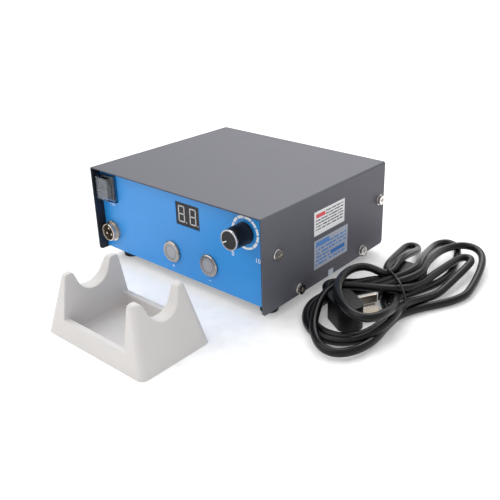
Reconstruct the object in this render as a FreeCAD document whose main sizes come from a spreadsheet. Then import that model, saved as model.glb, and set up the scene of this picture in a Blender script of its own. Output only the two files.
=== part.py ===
import FreeCAD, Part
import math
import os
import re

import Sketcher
from FreeCAD import Placement, Rotation, Vector

# Tabletop ultrasound therapy generator in a folded sheet-metal case, with the moulded rest for its
# handpiece standing in front of it and its tied mains lead lying beside it.
# Millimetres, +Z up, front towards -Y. The origin is on the table, on the case's middle plane, midway
# between the front edge of the handpiece rest and the back of the fan guard.

os.makedirs("parts", exist_ok=True)
doc = FreeCAD.newDocument("ultrasound_unit")

# Driving sizes: each one can be changed by itself.
SIZES = {
    # top cover: an inverted U of sheet
    "cover_wide": 190, "cover_deep": 164, "cover_high": 76.5, "cover_sheet": 1.2,
    "cover_bend": 2.0, "cover_inner_bend": 0.5, "cover_corner": 3.0, "cover_gap": 0.2,
    "front_overhang": 8.3, "cover_drop": 1.0,
    # chassis: one folded tray with front and rear panels
    "chassis_sheet": 1.2, "chassis_bend": 1.6, "side_flange": 10, "panel_flange": 15,
    "vent_wide": 3, "vent_long": 34, "vent_pitch": 7, "vent_count": 6, "vent_x": 30,
    "overlay_thick": 0.5, "overlay_inset": 0.3,
    # screws
    "thread_r": 2.0, "thread_fit": 0.05, "hole_fit": 0.25, "screw_long": 7,
    "head_r": 4.0, "head_high": 2.4, "washer_r": 4.6, "washer_thick": 0.8,
    "cross_long": 4.4, "cross_wide": 1.0, "cross_deep": 1.3,
    "low_screw_up": 5.2, "high_screw_up": 43.85, "low_screw_in": 33.9, "high_screw_in": 7.9,
    "small_r": 1.5, "small_head_r": 2.8, "small_head_high": 1.8, "small_long": 6,
    "nut_r": 4.0, "nut_high": 3.2, "nut_fit": 0.02,
    # feet
    "foot_high": 10, "foot_r": 8.0, "foot_low_r": 7.2, "foot_x": 80.5, "foot_in": 15,
    "foot_recess_r": 4.6, "foot_recess": 4.5, "foot_screw_long": 12,
    # power switch
    "switch_x": -82.5, "switch_up": 59, "switch_wide": 15, "switch_high": 21, "switch_lip": 2,
    "switch_body_wide": 13, "switch_body_high": 19, "switch_body_deep": 15, "switch_slot_fit": 0.1,
    "rocker_wide": 10.4, "rocker_high": 15.0, "rocker_side_gap": 0.3, "rocker_end_gap": 1.0,
    "rocker_rise": 5.2, "rocker_dip": 1.5, "rocker_root": 3.0, "rocker_shoulder": 1.0,
    "rocker_tilt": 9, "rocker_pivot_in": 1.0, "rocker_pin_r": 1.0, "rocker_pin_out": 0.8,
    "pivot_fit": 0.05,
    "boot_wide": 19.6, "boot_high": 24.6, "boot_front_wide": 14.7, "boot_front_high": 19.5,
    "boot_flange": 2.5, "boot_proud": 8.0, "boot_wall": 1.0,
    "tab_wide": 4.8, "tab_thick": 0.8, "tab_long": 8, "tab_pitch": 6.5,
    # handpiece socket
    "socket_x": -83, "socket_up": 18.5, "socket_r": 7.8, "socket_flange_r": 9.0,
    "socket_flange": 1.8, "socket_proud": 6.5, "socket_bore_r": 6.9, "socket_deep": 15,
    "socket_hole_fit": 0.2, "collar_chamfer": 0.5, "socket_nut": 3, "socket_nut_r": 9.1,
    "insert_recess": 4.6, "insert_thick": 8, "contact_r": 1.0, "contact_circle": 3.4,
    "contact_recess": 1.2, "contact_tail": 5,
    # display
    "display_x": 12.2, "display_up": 55.9, "display_wide": 25.4, "display_high": 19.0,
    "display_thick": 8.0, "display_fit": 0.2, "display_back": 0.3,
    "display_board_wide": 46, "display_board_high": 24, "board_thick": 1.6, "spacer_r": 3.0,
    "display_spacer_x": 18.5,
    # push buttons
    "left_button_x": -8.15, "right_button_x": 33.4, "button_up": 19.75,
    "bezel_r": 9.15, "bezel_proud": 2.0, "bezel_round": 0.7, "barrel_r": 7.9, "barrel_long": 19,
    "button_hole_fit": 0.15, "cap_r": 6.5, "cap_gap": 0.2, "cap_thick": 3.0, "cap_sink": 0.2,
    "button_travel": 1.8, "stem_r": 3.0, "stem_fit": 0.05, "stem_long": 12,
    "button_nut_r": 10.5, "button_nut": 3.0, "terminal_r": 0.6, "terminal_long": 5,
    "terminal_spread": 3.5,
    # output control
    "knob_x": 72.3, "knob_up": 58.0, "knob_r": 8.5, "knob_front_r": 8.0, "knob_long": 16.4,
    "knob_lift": 0.8, "knob_flutes": 24, "flute_r": 0.45, "flute_start": 3.0,
    "rim_thick": 1.0, "rim_wide": 1.1, "knob_bore_deep": 13, "knob_face_sink": 0.3,
    "knob_recess_r": 6.2, "knob_recess": 5.0, "shaft_r": 3.0, "shaft_fit": 0.05,
    "bushing_wall": 0.45, "bushing_out": 3.8, "bushing_fit": 0.1, "pot_r": 8.5, "pot_deep": 9.5,
    "pot_wall": 1.5, "pot_nut_r": 5.2, "pot_nut": 2.0, "wiper_r": 6.0, "wiper_thick": 2.0,
    "wiper_gap": 0.5,
    # main board and what stands on it
    "board_left": -24, "board_long": 106, "board_front": 18, "board_deep": 84,
    "standoff_high": 8, "standoff_r": 3.2, "board_hole_in": 5,
    "sink_wide": 26, "sink_long": 52, "sink_high": 34, "sink_base": 4, "fin_thick": 1.6,
    "fin_pitch": 5.6, "fin_count": 6, "sink_x": 66, "sink_y": 62,
    "transistor_wide": 10, "transistor_high": 16, "transistor_thick": 4.5,
    "core_wide": 26, "core_deep": 22, "core_high": 24, "core_leg": 6, "coil_fit": 0.3,
    "core_x": 26, "core_y": 42, "can_r": 8, "can_high": 26, "can_x": -8, "can_y": 84,
    "can_pitch": 20, "relay_wide": 19, "relay_deep": 15.5, "relay_high": 15.5,
    "header_wide": 10, "header_deep": 6, "header_high": 8, "header_pitch": 16,
    # mains transformer
    "trafo_x": -57, "trafo_y": 60, "trafo_wide": 42, "trafo_deep": 26, "trafo_high": 36,
    "trafo_leg": 7, "coil_out": 8, "strap_thick": 1.5, "strap_ear": 10,
    # rear panel: mains inlet with fuse drawer
    "inlet_x": -52, "inlet_up": 27, "inlet_wide": 50, "inlet_high": 31, "inlet_lip": 2.8,
    "inlet_body_wide": 30, "inlet_body_high": 28, "inlet_body_deep": 24, "inlet_fit": 0.3,
    "inlet_round": 4, "socket_wide": 24.6, "socket_high": 16.2, "socket_depth": 16,
    "socket_rise": 4.6, "inlet_screw_half": 20, "blade_wide": 2, "blade_high": 4,
    "blade_long": 13, "blade_spread": 7, "blade_drop": 2, "blade_tail": 8,
    "drawer_wide": 23, "drawer_high": 7.0, "drawer_deep": 18, "drawer_gap": 0.3,
    "drawer_lip": 1.2, "drawer_drop": 9.2, "drawer_wall": 0.9,
    "fuse_r": 2.5, "fuse_long": 20, "fuse_cap": 5, "fuse_fit": 0.1,
    # rear panel: fan and guard
    "fan_x": 58, "fan_up": 40, "fan_wide": 40, "fan_thick": 10, "fan_bore_r": 19,
    "fan_hole_half": 16, "fan_gap": 0.6, "hub_r": 9, "hub_deep": 6.5, "hub_wall": 2, "blade_count": 7,
    "fan_blade": 1.4, "fan_pitch": 32, "stator_thick": 1.5, "strut_wide": 3,
    "axle_r": 1.0, "axle_fit": 0.05, "boss_r": 3.0, "boss_long": 2.2,
    "guard_wire_r": 0.7, "guard_sink": 0.4, "guard_ring_step": 6.5, "guard_eye_r": 3.0,
    "guard_eye": 1.6,
    # side labels
    "label_thick": 0.15, "upper_label_long": 41, "upper_label_high": 20, "upper_label_y": 81.7,
    "upper_label_up": 51.8, "lower_label_long": 46, "lower_label_high": 24.7,
    "lower_label_y": 84.5, "lower_label_up": 25.2, "seal_long": 6.6, "seal_high": 5.1,
    "seal_y": 84.3, "seal_up": 2.8,
    # handpiece rest
    "rest_ahead": 98.5, "rest_left": -26.5, "rest_long": 104, "rest_deep": 62, "rest_high": 47.5,
    "end_lean": 0.27, "side_lean": 0.175, "rest_corner": 5, "plate_top": 6.5, "tray_wall": 14.5,
    "tray_floor": 3.0, "wall_top": 4.5, "saddle_r": 13.2, "saddle_low": 29.5, "saddle_flare": 20,
    "peak_round": 3.0, "core_gap": 3.0, "core_up": 24,
    # mains lead: tied hank, plug and appliance connector
    "hank_low": 11, "hank_high": 29, "part_gap": 0.4,
    "plug_x": 42, "plug_y": 8.5, "plug_turn": 60, "plug_across": 31, "plug_along": 20,
    "plug_thick": 19, "plug_corner": 8, "plug_neck_r": 5.0, "plug_neck_end_r": 3.8,
    "plug_neck_long": 12, "pin_wide": 6.3, "pin_thick": 1.6, "pin_long": 16, "pin_circle": 5.3,
    "pin_root": 4,
    "head_x": 50, "head_y": 93, "head_turn": 5, "head_wide": 28, "head_thick": 18,
    "head_deep": 18, "head_taper": 10, "neck_wide": 14, "neck_thick": 12, "neck_long": 18,
    "mouth_wide": 22, "mouth_high": 13, "mouth_deep": 15, "mouth_clear": 8,
    "tie_x": 58, "tie_y": 52.5, "tie_turn": -38, "tie_wide": 35, "tie_high": 29,
    "tie_wire": 1.2, "tie_band": 1.6,
}

# Places worked out from the driving sizes.
PLACES = {
    "rear_reach": "inlet_lip + small_head_high",
    "total_deep": "rest_ahead + cover_deep + rear_reach",
    "cover_front": "rest_ahead - total_deep / 2",
    "back_y": "cover_front + cover_deep",
    "face_y": "cover_front + front_overhang",
    "panel_y": "face_y + overlay_thick",
    "inner_y": "panel_y + chassis_sheet",
    "rear_inner_y": "back_y - chassis_sheet",
    "mid_y": "(panel_y + back_y) / 2",
    "side_x": "cover_wide / 2",
    "chassis_x": "side_x - cover_sheet - cover_gap",
    "floor_z": "foot_high",
    "deck_z": "floor_z + chassis_sheet",
    "cover_z": "floor_z - cover_drop",
    "roof_z": "cover_z + cover_high",
    "chassis_top": "roof_z - cover_sheet - cover_gap",
    "low_screw_z": "cover_z + low_screw_up",
    "high_screw_z": "cover_z + high_screw_up",
    "switch_z": "cover_z + switch_up",
    "socket_z": "cover_z + socket_up",
    "display_z": "cover_z + display_up",
    "button_z": "cover_z + button_up",
    "knob_z": "cover_z + knob_up",
    "inlet_z": "cover_z + inlet_up",
    "fan_z": "cover_z + fan_up",
    "board_z": "deck_z + standoff_high",
    "board_top": "board_z + board_thick",
    "pivot_y": "face_y + rocker_pivot_in",
    "bushing_r": "shaft_r + shaft_fit + bushing_wall",
    "display_rear": "face_y + display_back + display_thick",
    "rest_front": "-total_deep / 2",
    "rest_mid_x": "rest_left + rest_long / 2",
    "rest_mid_y": "rest_front + rest_deep / 2",
}

sizes = doc.addObject("Spreadsheet::Sheet", "Sizes")
for row, (alias, value) in enumerate(SIZES.items(), start=1):
    sizes.set(f"A{row}", alias)
    sizes.set(f"B{row}", str(value))
    sizes.setAlias(f"B{row}", alias)
places = doc.addObject("Spreadsheet::Sheet", "Places")
doc.recompute()

WORD = re.compile(r"[a-z][a-z_]+")


def linked(formula):
    """The formula with every named size or place written as a link to its sheet."""
    def link(match):
        word = match.group()
        if word in SIZES:
            return "Sizes." + word
        return "Places." + word if word in PLACES else word
    return WORD.sub(link, str(formula))


for row, (alias, formula) in enumerate(PLACES.items(), start=1):
    places.set(f"A{row}", alias)
    places.set(f"B{row}", "=" + linked(formula).replace("Places.", ""))
    places.setAlias(f"B{row}", alias)
    doc.recompute()


def mm(name):
    """The value of a named size or place."""
    return float((sizes if name in SIZES else places).get(name))


def bind(item, **formulas):
    for name, formula in formulas.items():
        item.setExpression(name, linked(formula))


def put(item, x="0", y="0", z="0", turn=None):
    """Place an item at three formulas, with an optional (axis, degrees) turn."""
    if turn:
        item.Placement = Placement(Vector(), Rotation(Vector(*turn[0]), turn[1]))
    for axis, formula in zip("xyz", (x, y, z)):
        item.setExpression("Placement.Base." + axis, linked(formula))
    return item


# Part primitives and booleans.

TURNS = {
    "+x": ((0, 1, 0), 90), "-x": ((0, 1, 0), -90), "+y": ((1, 0, 0), -90),
    "-y": ((1, 0, 0), 90), "+z": None, "-z": ((1, 0, 0), 180),
}


def box(name, x, y, z):
    """A block between (low, high) formulas on each axis."""
    item = doc.addObject("Part::Box", name)
    bind(item, Length=f"({x[1]}) - ({x[0]})", Width=f"({y[1]}) - ({y[0]})",
         Height=f"({z[1]}) - ({z[0]})")
    return put(item, x[0], y[0], z[0])


def block(name, x, y, z, wide, deep, high):
    """A block centred on x and y that stands on z."""
    return box(name, (f"{x} - ({wide}) / 2", f"{x} + ({wide}) / 2"),
               (f"{y} - ({deep}) / 2", f"{y} + ({deep}) / 2"), (z, f"{z} + ({high})"))


def rod(name, way, x, y, z, radius, length):
    item = doc.addObject("Part::Cylinder", name)
    bind(item, Radius=radius, Height=length)
    return put(item, x, y, z, TURNS[way])


def hexagon(name, way, x, y, z, radius, length):
    item = doc.addObject("Part::Prism", name)
    item.Polygon = 6
    bind(item, Circumradius=radius, Height=length)
    return put(item, x, y, z, TURNS[way])


def join(name, *pieces):
    item = doc.addObject("Part::MultiFuse", name)
    item.Shapes = list(pieces)
    return item


def cut(name, base, *tools):
    item = doc.addObject("Part::Cut", name)
    item.Base = base
    item.Tool = tools[0] if len(tools) == 1 else join(name + "_tools", *tools)
    return item


def group(name, pieces):
    item = doc.addObject("Part::Compound", name)
    item.Links = list(pieces)
    return item


# Sketches and PartDesign features.

PLANES = {"xy": "XY_Plane", "xz": "XZ_Plane", "yz": "YZ_Plane"}


def new_body(name):
    return doc.addObject("PartDesign::Body", name)


def sketch_on(body, plane, name, x="0", y="0", z="0"):
    """A sketch on one of the body's origin planes, moved by three formulas along the main axes."""
    sketch = body.newObject("Sketcher::SketchObject", name)
    origin_plane = [f for f in body.Origin.OriginFeatures if f.Role == PLANES[plane]][0]
    sketch.AttachmentSupport = [(origin_plane, "")]
    sketch.MapMode = "FlatFace"
    local = {"xy": (x, y, z), "xz": (x, z, f"-({y})"), "yz": (y, z, x)}[plane]
    for axis, formula in zip("xyz", local):
        sketch.setExpression("AttachmentOffset.Base." + axis, linked(formula))
    return sketch


def fix(sketch, kind, shape, point, formula):
    """Tie one coordinate of a sketch point, or a radius, to a formula."""
    if kind == "Radius":
        number = sketch.addConstraint(Sketcher.Constraint("Radius", shape, 1.0))
    elif formula == "0":
        axis = -2 if kind == "DistanceX" else -1
        sketch.addConstraint(Sketcher.Constraint("PointOnObject", shape, point, axis))
        return
    else:
        number = sketch.addConstraint(Sketcher.Constraint(kind, -1, 1, shape, point, 1.0))
    sketch.setExpression(f"Constraints[{number}]", linked(formula))


def polygon(sketch, points):
    """A closed outline through (x, y) formulas."""
    spots = [Vector(math.cos(2 * math.pi * i / len(points)),
                    math.sin(2 * math.pi * i / len(points)), 0) for i in range(len(points))]
    first = sketch.GeometryCount
    for i in range(len(points)):
        sketch.addGeometry(Part.LineSegment(spots[i], spots[(i + 1) % len(points)]), False)
    for i, (x, y) in enumerate(points):
        after = first + (i + 1) % len(points)
        sketch.addConstraint(Sketcher.Constraint("Coincident", first + i, 2, after, 1))
        fix(sketch, "DistanceX", first + i, 1, x)
        fix(sketch, "DistanceY", first + i, 1, y)


def rectangle(sketch, x, y):
    polygon(sketch, [(x[0], y[0]), (x[1], y[0]), (x[1], y[1]), (x[0], y[1])])


def centred(sketch, x, y, wide, high):
    rectangle(sketch, (f"{x} - ({wide}) / 2", f"{x} + ({wide}) / 2"),
              (f"{y} - ({high}) / 2", f"{y} + ({high}) / 2"))


def circle(sketch, x, y, radius):
    number = sketch.addGeometry(Part.Circle(Vector(0, 0, 0), Vector(0, 0, 1), 1), False)
    fix(sketch, "DistanceX", number, 3, x)
    fix(sketch, "DistanceY", number, 3, y)
    fix(sketch, "Radius", number, 0, radius)


def feature(body, kind, name, sketch, **settings):
    item = body.newObject("PartDesign::" + kind, name)
    item.Profile = sketch
    for key, value in settings.items():
        setattr(item, key, value)
    return item


def pad(body, name, sketch, length, **settings):
    item = feature(body, "Pad", name, sketch, **settings)
    bind(item, Length=length)
    doc.recompute()
    return item


def pocket(body, name, sketch, length, **settings):
    """A pocket, which has to take something away."""
    before = body.Shape.Volume
    item = feature(body, "Pocket", name, sketch, **settings)
    bind(item, Length=length)
    doc.recompute()
    if not body.Shape.Volume < before:
        raise RuntimeError(f"{name} cuts nothing")
    return item


def edge_names(shape, wanted):
    return [f"Edge{i + 1}" for i, edge in enumerate(shape.Edges) if wanted(edge)]


def round_edges(body, name, radius, wanted, kind="Fillet"):
    """Fillet or chamfer the edges of the body's tip that a test picks out."""
    tip = body.Tip
    found = edge_names(tip.Shape, wanted)
    if not found:
        raise RuntimeError(f"{name} finds no edge")
    item = body.newObject("PartDesign::" + kind, name)
    item.Base = (tip, found)
    bind(item, **{"Radius" if kind == "Fillet" else "Size": radius})
    doc.recompute()
    return item


def along(edge, axis):
    """Whether a straight edge runs along x, y or z."""
    if len(edge.Vertexes) != 2:
        return False
    run = edge.Vertexes[1].Point - edge.Vertexes[0].Point
    return abs(abs(run.dot(Vector(*axis))) - run.Length) < 1e-6


def near(value, goal, within=0.01):
    return abs(value - goal) < within


def taper(body, kind, name, spot, turn, near_size, far_size, height):
    """A frustum between two centred rectangles, added to or taken from a body."""
    item = body.newObject(f"PartDesign::{kind}Wedge", name)
    item.Placement = Placement(Vector(), Rotation(Vector(*turn[0]), turn[1]))
    for axis, formula in zip("xyz", spot):
        item.setExpression("Placement.Base." + axis, linked(formula))
    for i, letter in enumerate("XZ"):
        for end, sign in (("min", "-"), ("max", "")):
            item.setExpression(f"{letter}{end}", linked(f"{sign}({near_size[i]}) / 2"))
            item.setExpression(f"{letter}2{end}", linked(f"{sign}({far_size[i]}) / 2"))
    bind(item, Ymin="0", Ymax=height)
    doc.recompute()
    return item


def turned(name, way, x, y, z, profile):
    """A body of revolution about an axis along y or z, from (radius, distance along) formulas."""
    body = new_body(name)
    sketch = sketch_on(body, "xy" if way == "y" else "xz", name + "_profile", x, y, z)
    polygon(sketch, profile)
    turn = feature(body, "Revolution", name + "_turn", sketch,
                   ReferenceAxis=(sketch, ["V_Axis"]), Angle=360.0)
    doc.recompute()
    return body, turn


# A node is a finished sub-part. Its label is its file's name.

NODES = {}


def node(name, item):
    item.Label = name
    NODES[name] = item
    return item


# ---- case ---------------------------------------------------------------------------------------

BUTTONS = ("left_button", "right_button")
CORNERS = [(side, end) for side in (-1, 1) for end in (-1, 1)]
FULL_X = "2 * cover_wide"


def front_openings(sketch, fit="0"):
    """The openings that the front panel and its overlay share, larger all round by a fit."""
    centred(sketch, "display_x", "display_z", f"display_wide + 2 * display_fit + 2 * ({fit})",
            f"display_high + 2 * display_fit + 2 * ({fit})")
    centred(sketch, "switch_x", "switch_z", f"switch_body_wide + 2 * switch_slot_fit + 2 * ({fit})",
            f"switch_body_high + 2 * switch_slot_fit + 2 * ({fit})")
    circle(sketch, "socket_x", "socket_z", f"socket_r + socket_hole_fit + ({fit})")
    circle(sketch, "knob_x", "knob_z", f"bushing_r + bushing_fit + ({fit})")
    for name in BUTTONS:
        circle(sketch, name + "_x", "button_z", f"barrel_r + button_hole_fit + ({fit})")


ENDS = {-1: "front", 1: "rear"}


def end_y(end, inset):
    """A place at an inset from the front (-1) or the rear (1) panel's outer face."""
    return f"panel_y + {inset}" if end < 0 else f"back_y - {inset}"


def side_holes(sketch, radius):
    """The eight screw holes through the case's two sides."""
    for level in ("low", "high"):
        for end in ENDS:
            circle(sketch, end_y(end, level + "_screw_in"), level + "_screw_z", radius)


def make_chassis():
    body = new_body("chassis_body")
    plan = sketch_on(body, "xy", "chassis_plan", z="floor_z")
    rectangle(plan, ("-chassis_x", "chassis_x"), ("panel_y", "back_y"))
    pad(body, "chassis_block", plan, "chassis_top - floor_z")
    round_edges(body, "chassis_bends", "chassis_bend", lambda edge: along(edge, (0, 0, 1)))
    room = sketch_on(body, "xy", "chassis_room", z="chassis_top")
    rectangle(room, ("-chassis_x + chassis_sheet", "chassis_x - chassis_sheet"),
              ("inner_y", "rear_inner_y"))
    pocket(body, "chassis_hollow", room, "chassis_top - deck_z")
    sides = sketch_on(body, "yz", "chassis_sides")
    rectangle(sides, ("inner_y + panel_flange", "rear_inner_y - panel_flange"),
              ("floor_z + side_flange", "chassis_top + 1"))
    pocket(body, "chassis_side_openings", sides, FULL_X, Midplane=True)
    holes = sketch_on(body, "yz", "chassis_side_holes")
    side_holes(holes, "thread_r + thread_fit")
    pocket(body, "chassis_screw_holes", holes, FULL_X, Midplane=True)
    front = sketch_on(body, "xz", "front_cutouts", y="panel_y")
    front_openings(front)
    pocket(body, "front_panel_openings", front, "chassis_sheet * 2")
    rear = sketch_on(body, "xz", "rear_cutouts", y="back_y")
    centred(rear, "inlet_x", "inlet_z", "inlet_body_wide + 2 * inlet_fit",
            "inlet_body_high + 2 * inlet_fit")
    circle(rear, "fan_x", "fan_z", "fan_bore_r")
    for side in ("-", "+"):
        circle(rear, f"inlet_x {side} inlet_screw_half", "inlet_z", "small_r + thread_fit")
        for level in ("-", "+"):
            circle(rear, f"fan_x {side} fan_hole_half", f"fan_z {level} fan_hole_half",
                   "small_r + thread_fit")
    pocket(body, "rear_panel_openings", rear, "chassis_sheet * 2", Reversed=True)
    floor = sketch_on(body, "xy", "floor_cutouts", z="floor_z")
    for side, end in CORNERS:
        circle(floor, f"{side} * foot_x", end_y(end, "foot_in"), "thread_r + thread_fit")
    pocket(body, "foot_holes", floor, "chassis_sheet * 2", Reversed=True)
    slot = sketch_on(body, "xy", "vent_slot", z="floor_z")
    centred(slot, "vent_x", "mid_y - vent_pitch * (vent_count - 1) / 2", "vent_long", "vent_wide")
    vent = pocket(body, "floor_vent", slot, "chassis_sheet * 2", Reversed=True)
    vents = body.newObject("PartDesign::LinearPattern", "floor_vents")
    vents.Originals = [vent]
    vents.Direction = ([f for f in body.Origin.OriginFeatures if f.Role == "Y_Axis"][0], [""])
    bind(vents, Length="vent_pitch * (vent_count - 1)", Occurrences="vent_count")
    body.Tip = vents
    node("chassis", body)


def make_overlay():
    body = new_body("overlay_body")
    sheet = sketch_on(body, "xz", "overlay_outline", y="panel_y")
    rectangle(sheet, ("-chassis_x + overlay_inset", "chassis_x - overlay_inset"),
              ("floor_z + overlay_inset", "chassis_top - overlay_inset"))
    front_openings(sheet)
    pad(body, "overlay_sheet", sheet, "overlay_thick")
    node("front_overlay", body)


def make_cover():
    body = new_body("cover_body")
    front = sketch_on(body, "xz", "cover_front_view", y="back_y")
    rectangle(front, ("-side_x", "side_x"), ("cover_z", "roof_z"))
    pad(body, "cover_block", front, "cover_deep")
    top = mm("roof_z")
    round_edges(body, "cover_bends", "cover_bend",
                lambda edge: along(edge, (0, 1, 0)) and near(edge.CenterOfMass.z, top))
    room = sketch_on(body, "xz", "cover_room", y="back_y")
    rectangle(room, ("-side_x + cover_sheet", "side_x - cover_sheet"),
              ("cover_z - 1", "roof_z - cover_sheet"))
    pocket(body, "cover_hollow", room, "cover_deep", Reversed=True)
    inside = mm("roof_z") - mm("cover_sheet")
    round_edges(body, "cover_inner_bends", "cover_inner_bend",
                lambda edge: along(edge, (0, 1, 0)) and near(edge.CenterOfMass.z, inside))
    low = mm("cover_z")
    round_edges(body, "cover_corners", "cover_corner",
                lambda edge: along(edge, (1, 0, 0)) and near(edge.CenterOfMass.z, low))
    sides = sketch_on(body, "yz", "cover_side_holes")
    side_holes(sides, "thread_r + hole_fit")
    pocket(body, "cover_screw_holes", sides, FULL_X, Midplane=True)
    node("top_cover", body)


def cross_screw(name, way, x, y, z, shank_r, head_r, head_high, length):
    """A cross-recessed pan screw whose head stands on (x, y, z) and faces the given way."""
    back = way.translate(str.maketrans("+-", "-+"))
    head = rod(name + "_head", way, x, y, z, head_r, head_high)
    shank = rod(name + "_shank", back, x, y, z, shank_r, length)
    sign = way[0]
    spot = {"x": x, "y": y, "z": z}
    top = f"{spot[way[1]]} {sign} ({head_high})"
    ends = {}
    for axis in "xyz":
        if axis == way[1]:
            deep = f"{top} {'-' if sign == '+' else '+'} cross_deep * ({head_high}) / head_high"
            ends[axis] = (deep, top) if sign == "+" else (top, deep)
    slots = []
    flat = [axis for axis in "xyz" if axis != way[1]]
    for long_axis, short_axis in (flat, flat[::-1]):
        half_long = f"cross_long / 2 * ({head_r}) / head_r"
        half_short = f"cross_wide / 2 * ({head_r}) / head_r"
        ends[long_axis] = (f"{spot[long_axis]} - {half_long}", f"{spot[long_axis]} + {half_long}")
        ends[short_axis] = (f"{spot[short_axis]} - {half_short}",
                            f"{spot[short_axis]} + {half_short}")
        slots.append(box(f"{name}_slot_{long_axis}", ends["x"], ends["y"], ends["z"]))
    return cut(name, join(name + "_blank", head, shank), *slots)


def m4_screw(name, way, x, y, z):
    return cross_screw(name, way, x, y, z, "thread_r", "head_r", "head_high", "screw_long")


def m3_screw(name, way, x, y, z, length="small_long"):
    return cross_screw(name, way, x, y, z, "small_r", "small_head_r", "small_head_high", length)


def make_cover_screws():
    """Four screws with captive washers in each side of the case."""
    pieces = []
    for side, way, word in ((-1, "-x", "left"), (1, "+x", "right")):
        for level in ("low", "high"):
            for end in ENDS:
                name = f"{word}_{level}_{ENDS[end]}"
                y, z = end_y(end, level + "_screw_in"), level + "_screw_z"
                seat = f"{side} * (side_x + washer_thick)"
                pieces.append(m4_screw(name + "_screw", way, seat, y, z))
                washer = rod(name + "_washer_blank", way, f"{side} * side_x", y, z,
                             "washer_r", "washer_thick")
                bore = rod(name + "_washer_bore", way, f"{side} * side_x", y, z,
                           "thread_r + thread_fit", "washer_thick")
                pieces.append(cut(name + "_washer", washer, bore))
    node("cover_screws", group("cover_screw_group", pieces))


def make_feet():
    fasteners = []
    for side, end in CORNERS:
        word = f"{ENDS[end]}_{'left' if side < 0 else 'right'}"
        x, y = f"{side} * foot_x", end_y(end, "foot_in")
        body, _ = turned(f"{word}_foot_body", "z", x, y, "0", [
            ("foot_recess_r", "0"), ("foot_low_r", "0"), ("foot_r", "foot_high"),
            ("thread_r + hole_fit", "foot_high"), ("thread_r + hole_fit", "foot_recess"),
            ("foot_recess_r", "foot_recess")])
        node(f"foot_{word}", body)
        fasteners.append(cross_screw(f"{word}_foot_screw", "-z", x, y, "foot_recess", "thread_r",
                                     "head_r", "head_high", "foot_screw_long"))
        nut = hexagon(f"{word}_foot_nut_blank", "+z", x, y, "deck_z", "nut_r", "nut_high")
        bore = rod(f"{word}_foot_nut_bore", "+z", x, y, "deck_z", "thread_r + nut_fit", "nut_high")
        fasteners.append(cut(f"{word}_foot_nut", nut, bore))
    node("foot_fasteners", group("foot_fastener_group", fasteners))


# ---- front panel parts --------------------------------------------------------------------------


def make_switch():
    """Rocker switch: a housing with a lip, a rocker on two stub pins, and three tabs."""
    lip = box("switch_lip_block", ("switch_x - switch_wide / 2", "switch_x + switch_wide / 2"),
              ("face_y - switch_lip", "face_y"),
              ("switch_z - switch_high / 2", "switch_z + switch_high / 2"))
    shell = box("switch_shell_block",
                ("switch_x - switch_body_wide / 2", "switch_x + switch_body_wide / 2"),
                ("face_y", "face_y + switch_body_deep"),
                ("switch_z - switch_body_high / 2", "switch_z + switch_body_high / 2"))
    half_x = "(rocker_wide / 2 + rocker_side_gap)"
    half_z = "(rocker_high / 2 + rocker_end_gap)"
    well = box("switch_well", (f"switch_x - {half_x}", f"switch_x + {half_x}"),
               ("face_y - switch_lip", "pivot_y + rocker_root + rocker_pin_r"),
               (f"switch_z - {half_z}", f"switch_z + {half_z}"))
    pivots = rod("switch_pivot_holes", "+x", f"switch_x - {half_x} - rocker_pin_out - pivot_fit",
                 "pivot_y", "switch_z", "rocker_pin_r + pivot_fit",
                 f"2 * ({half_x} + rocker_pin_out + pivot_fit)")
    blank = join("switch_blank", lip, shell)
    node("switch_housing", cut("switch_housing_cut", blank, well, pivots))

    body = new_body("rocker_body")
    side = sketch_on(body, "yz", "rocker_side")
    polygon(side, [("-rocker_rise", "rocker_high / 2"), ("-rocker_rise + rocker_dip", "0"),
                   ("-rocker_rise", "-rocker_high / 2"), ("-rocker_shoulder", "-rocker_high / 2"),
                   ("rocker_root", "-rocker_root"), ("rocker_root", "rocker_root"),
                   ("-rocker_shoulder", "rocker_high / 2")])
    pad(body, "rocker_block", side, "rocker_wide", Midplane=True)
    pin = sketch_on(body, "yz", "rocker_pin")
    circle(pin, "0", "0", "rocker_pin_r")
    pad(body, "rocker_pins", pin, "rocker_wide + 2 * rocker_side_gap + 2 * rocker_pin_out",
        Midplane=True)
    put(body, "switch_x", "pivot_y", "switch_z", turn=((1, 0, 0), 1))
    body.setExpression("Placement.Rotation.Angle", linked("rocker_tilt"))
    node("switch_rocker", body)

    tabs = [box(f"switch_tab_{step}", ("switch_x - tab_wide / 2", "switch_x + tab_wide / 2"),
                ("face_y + switch_body_deep", "face_y + switch_body_deep + tab_long"),
                (f"switch_z + {step} * tab_pitch - tab_thick / 2",
                 f"switch_z + {step} * tab_pitch + tab_thick / 2")) for step in (-1, 0, 1)]
    node("switch_terminals", group("switch_tab_group", tabs))


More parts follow.
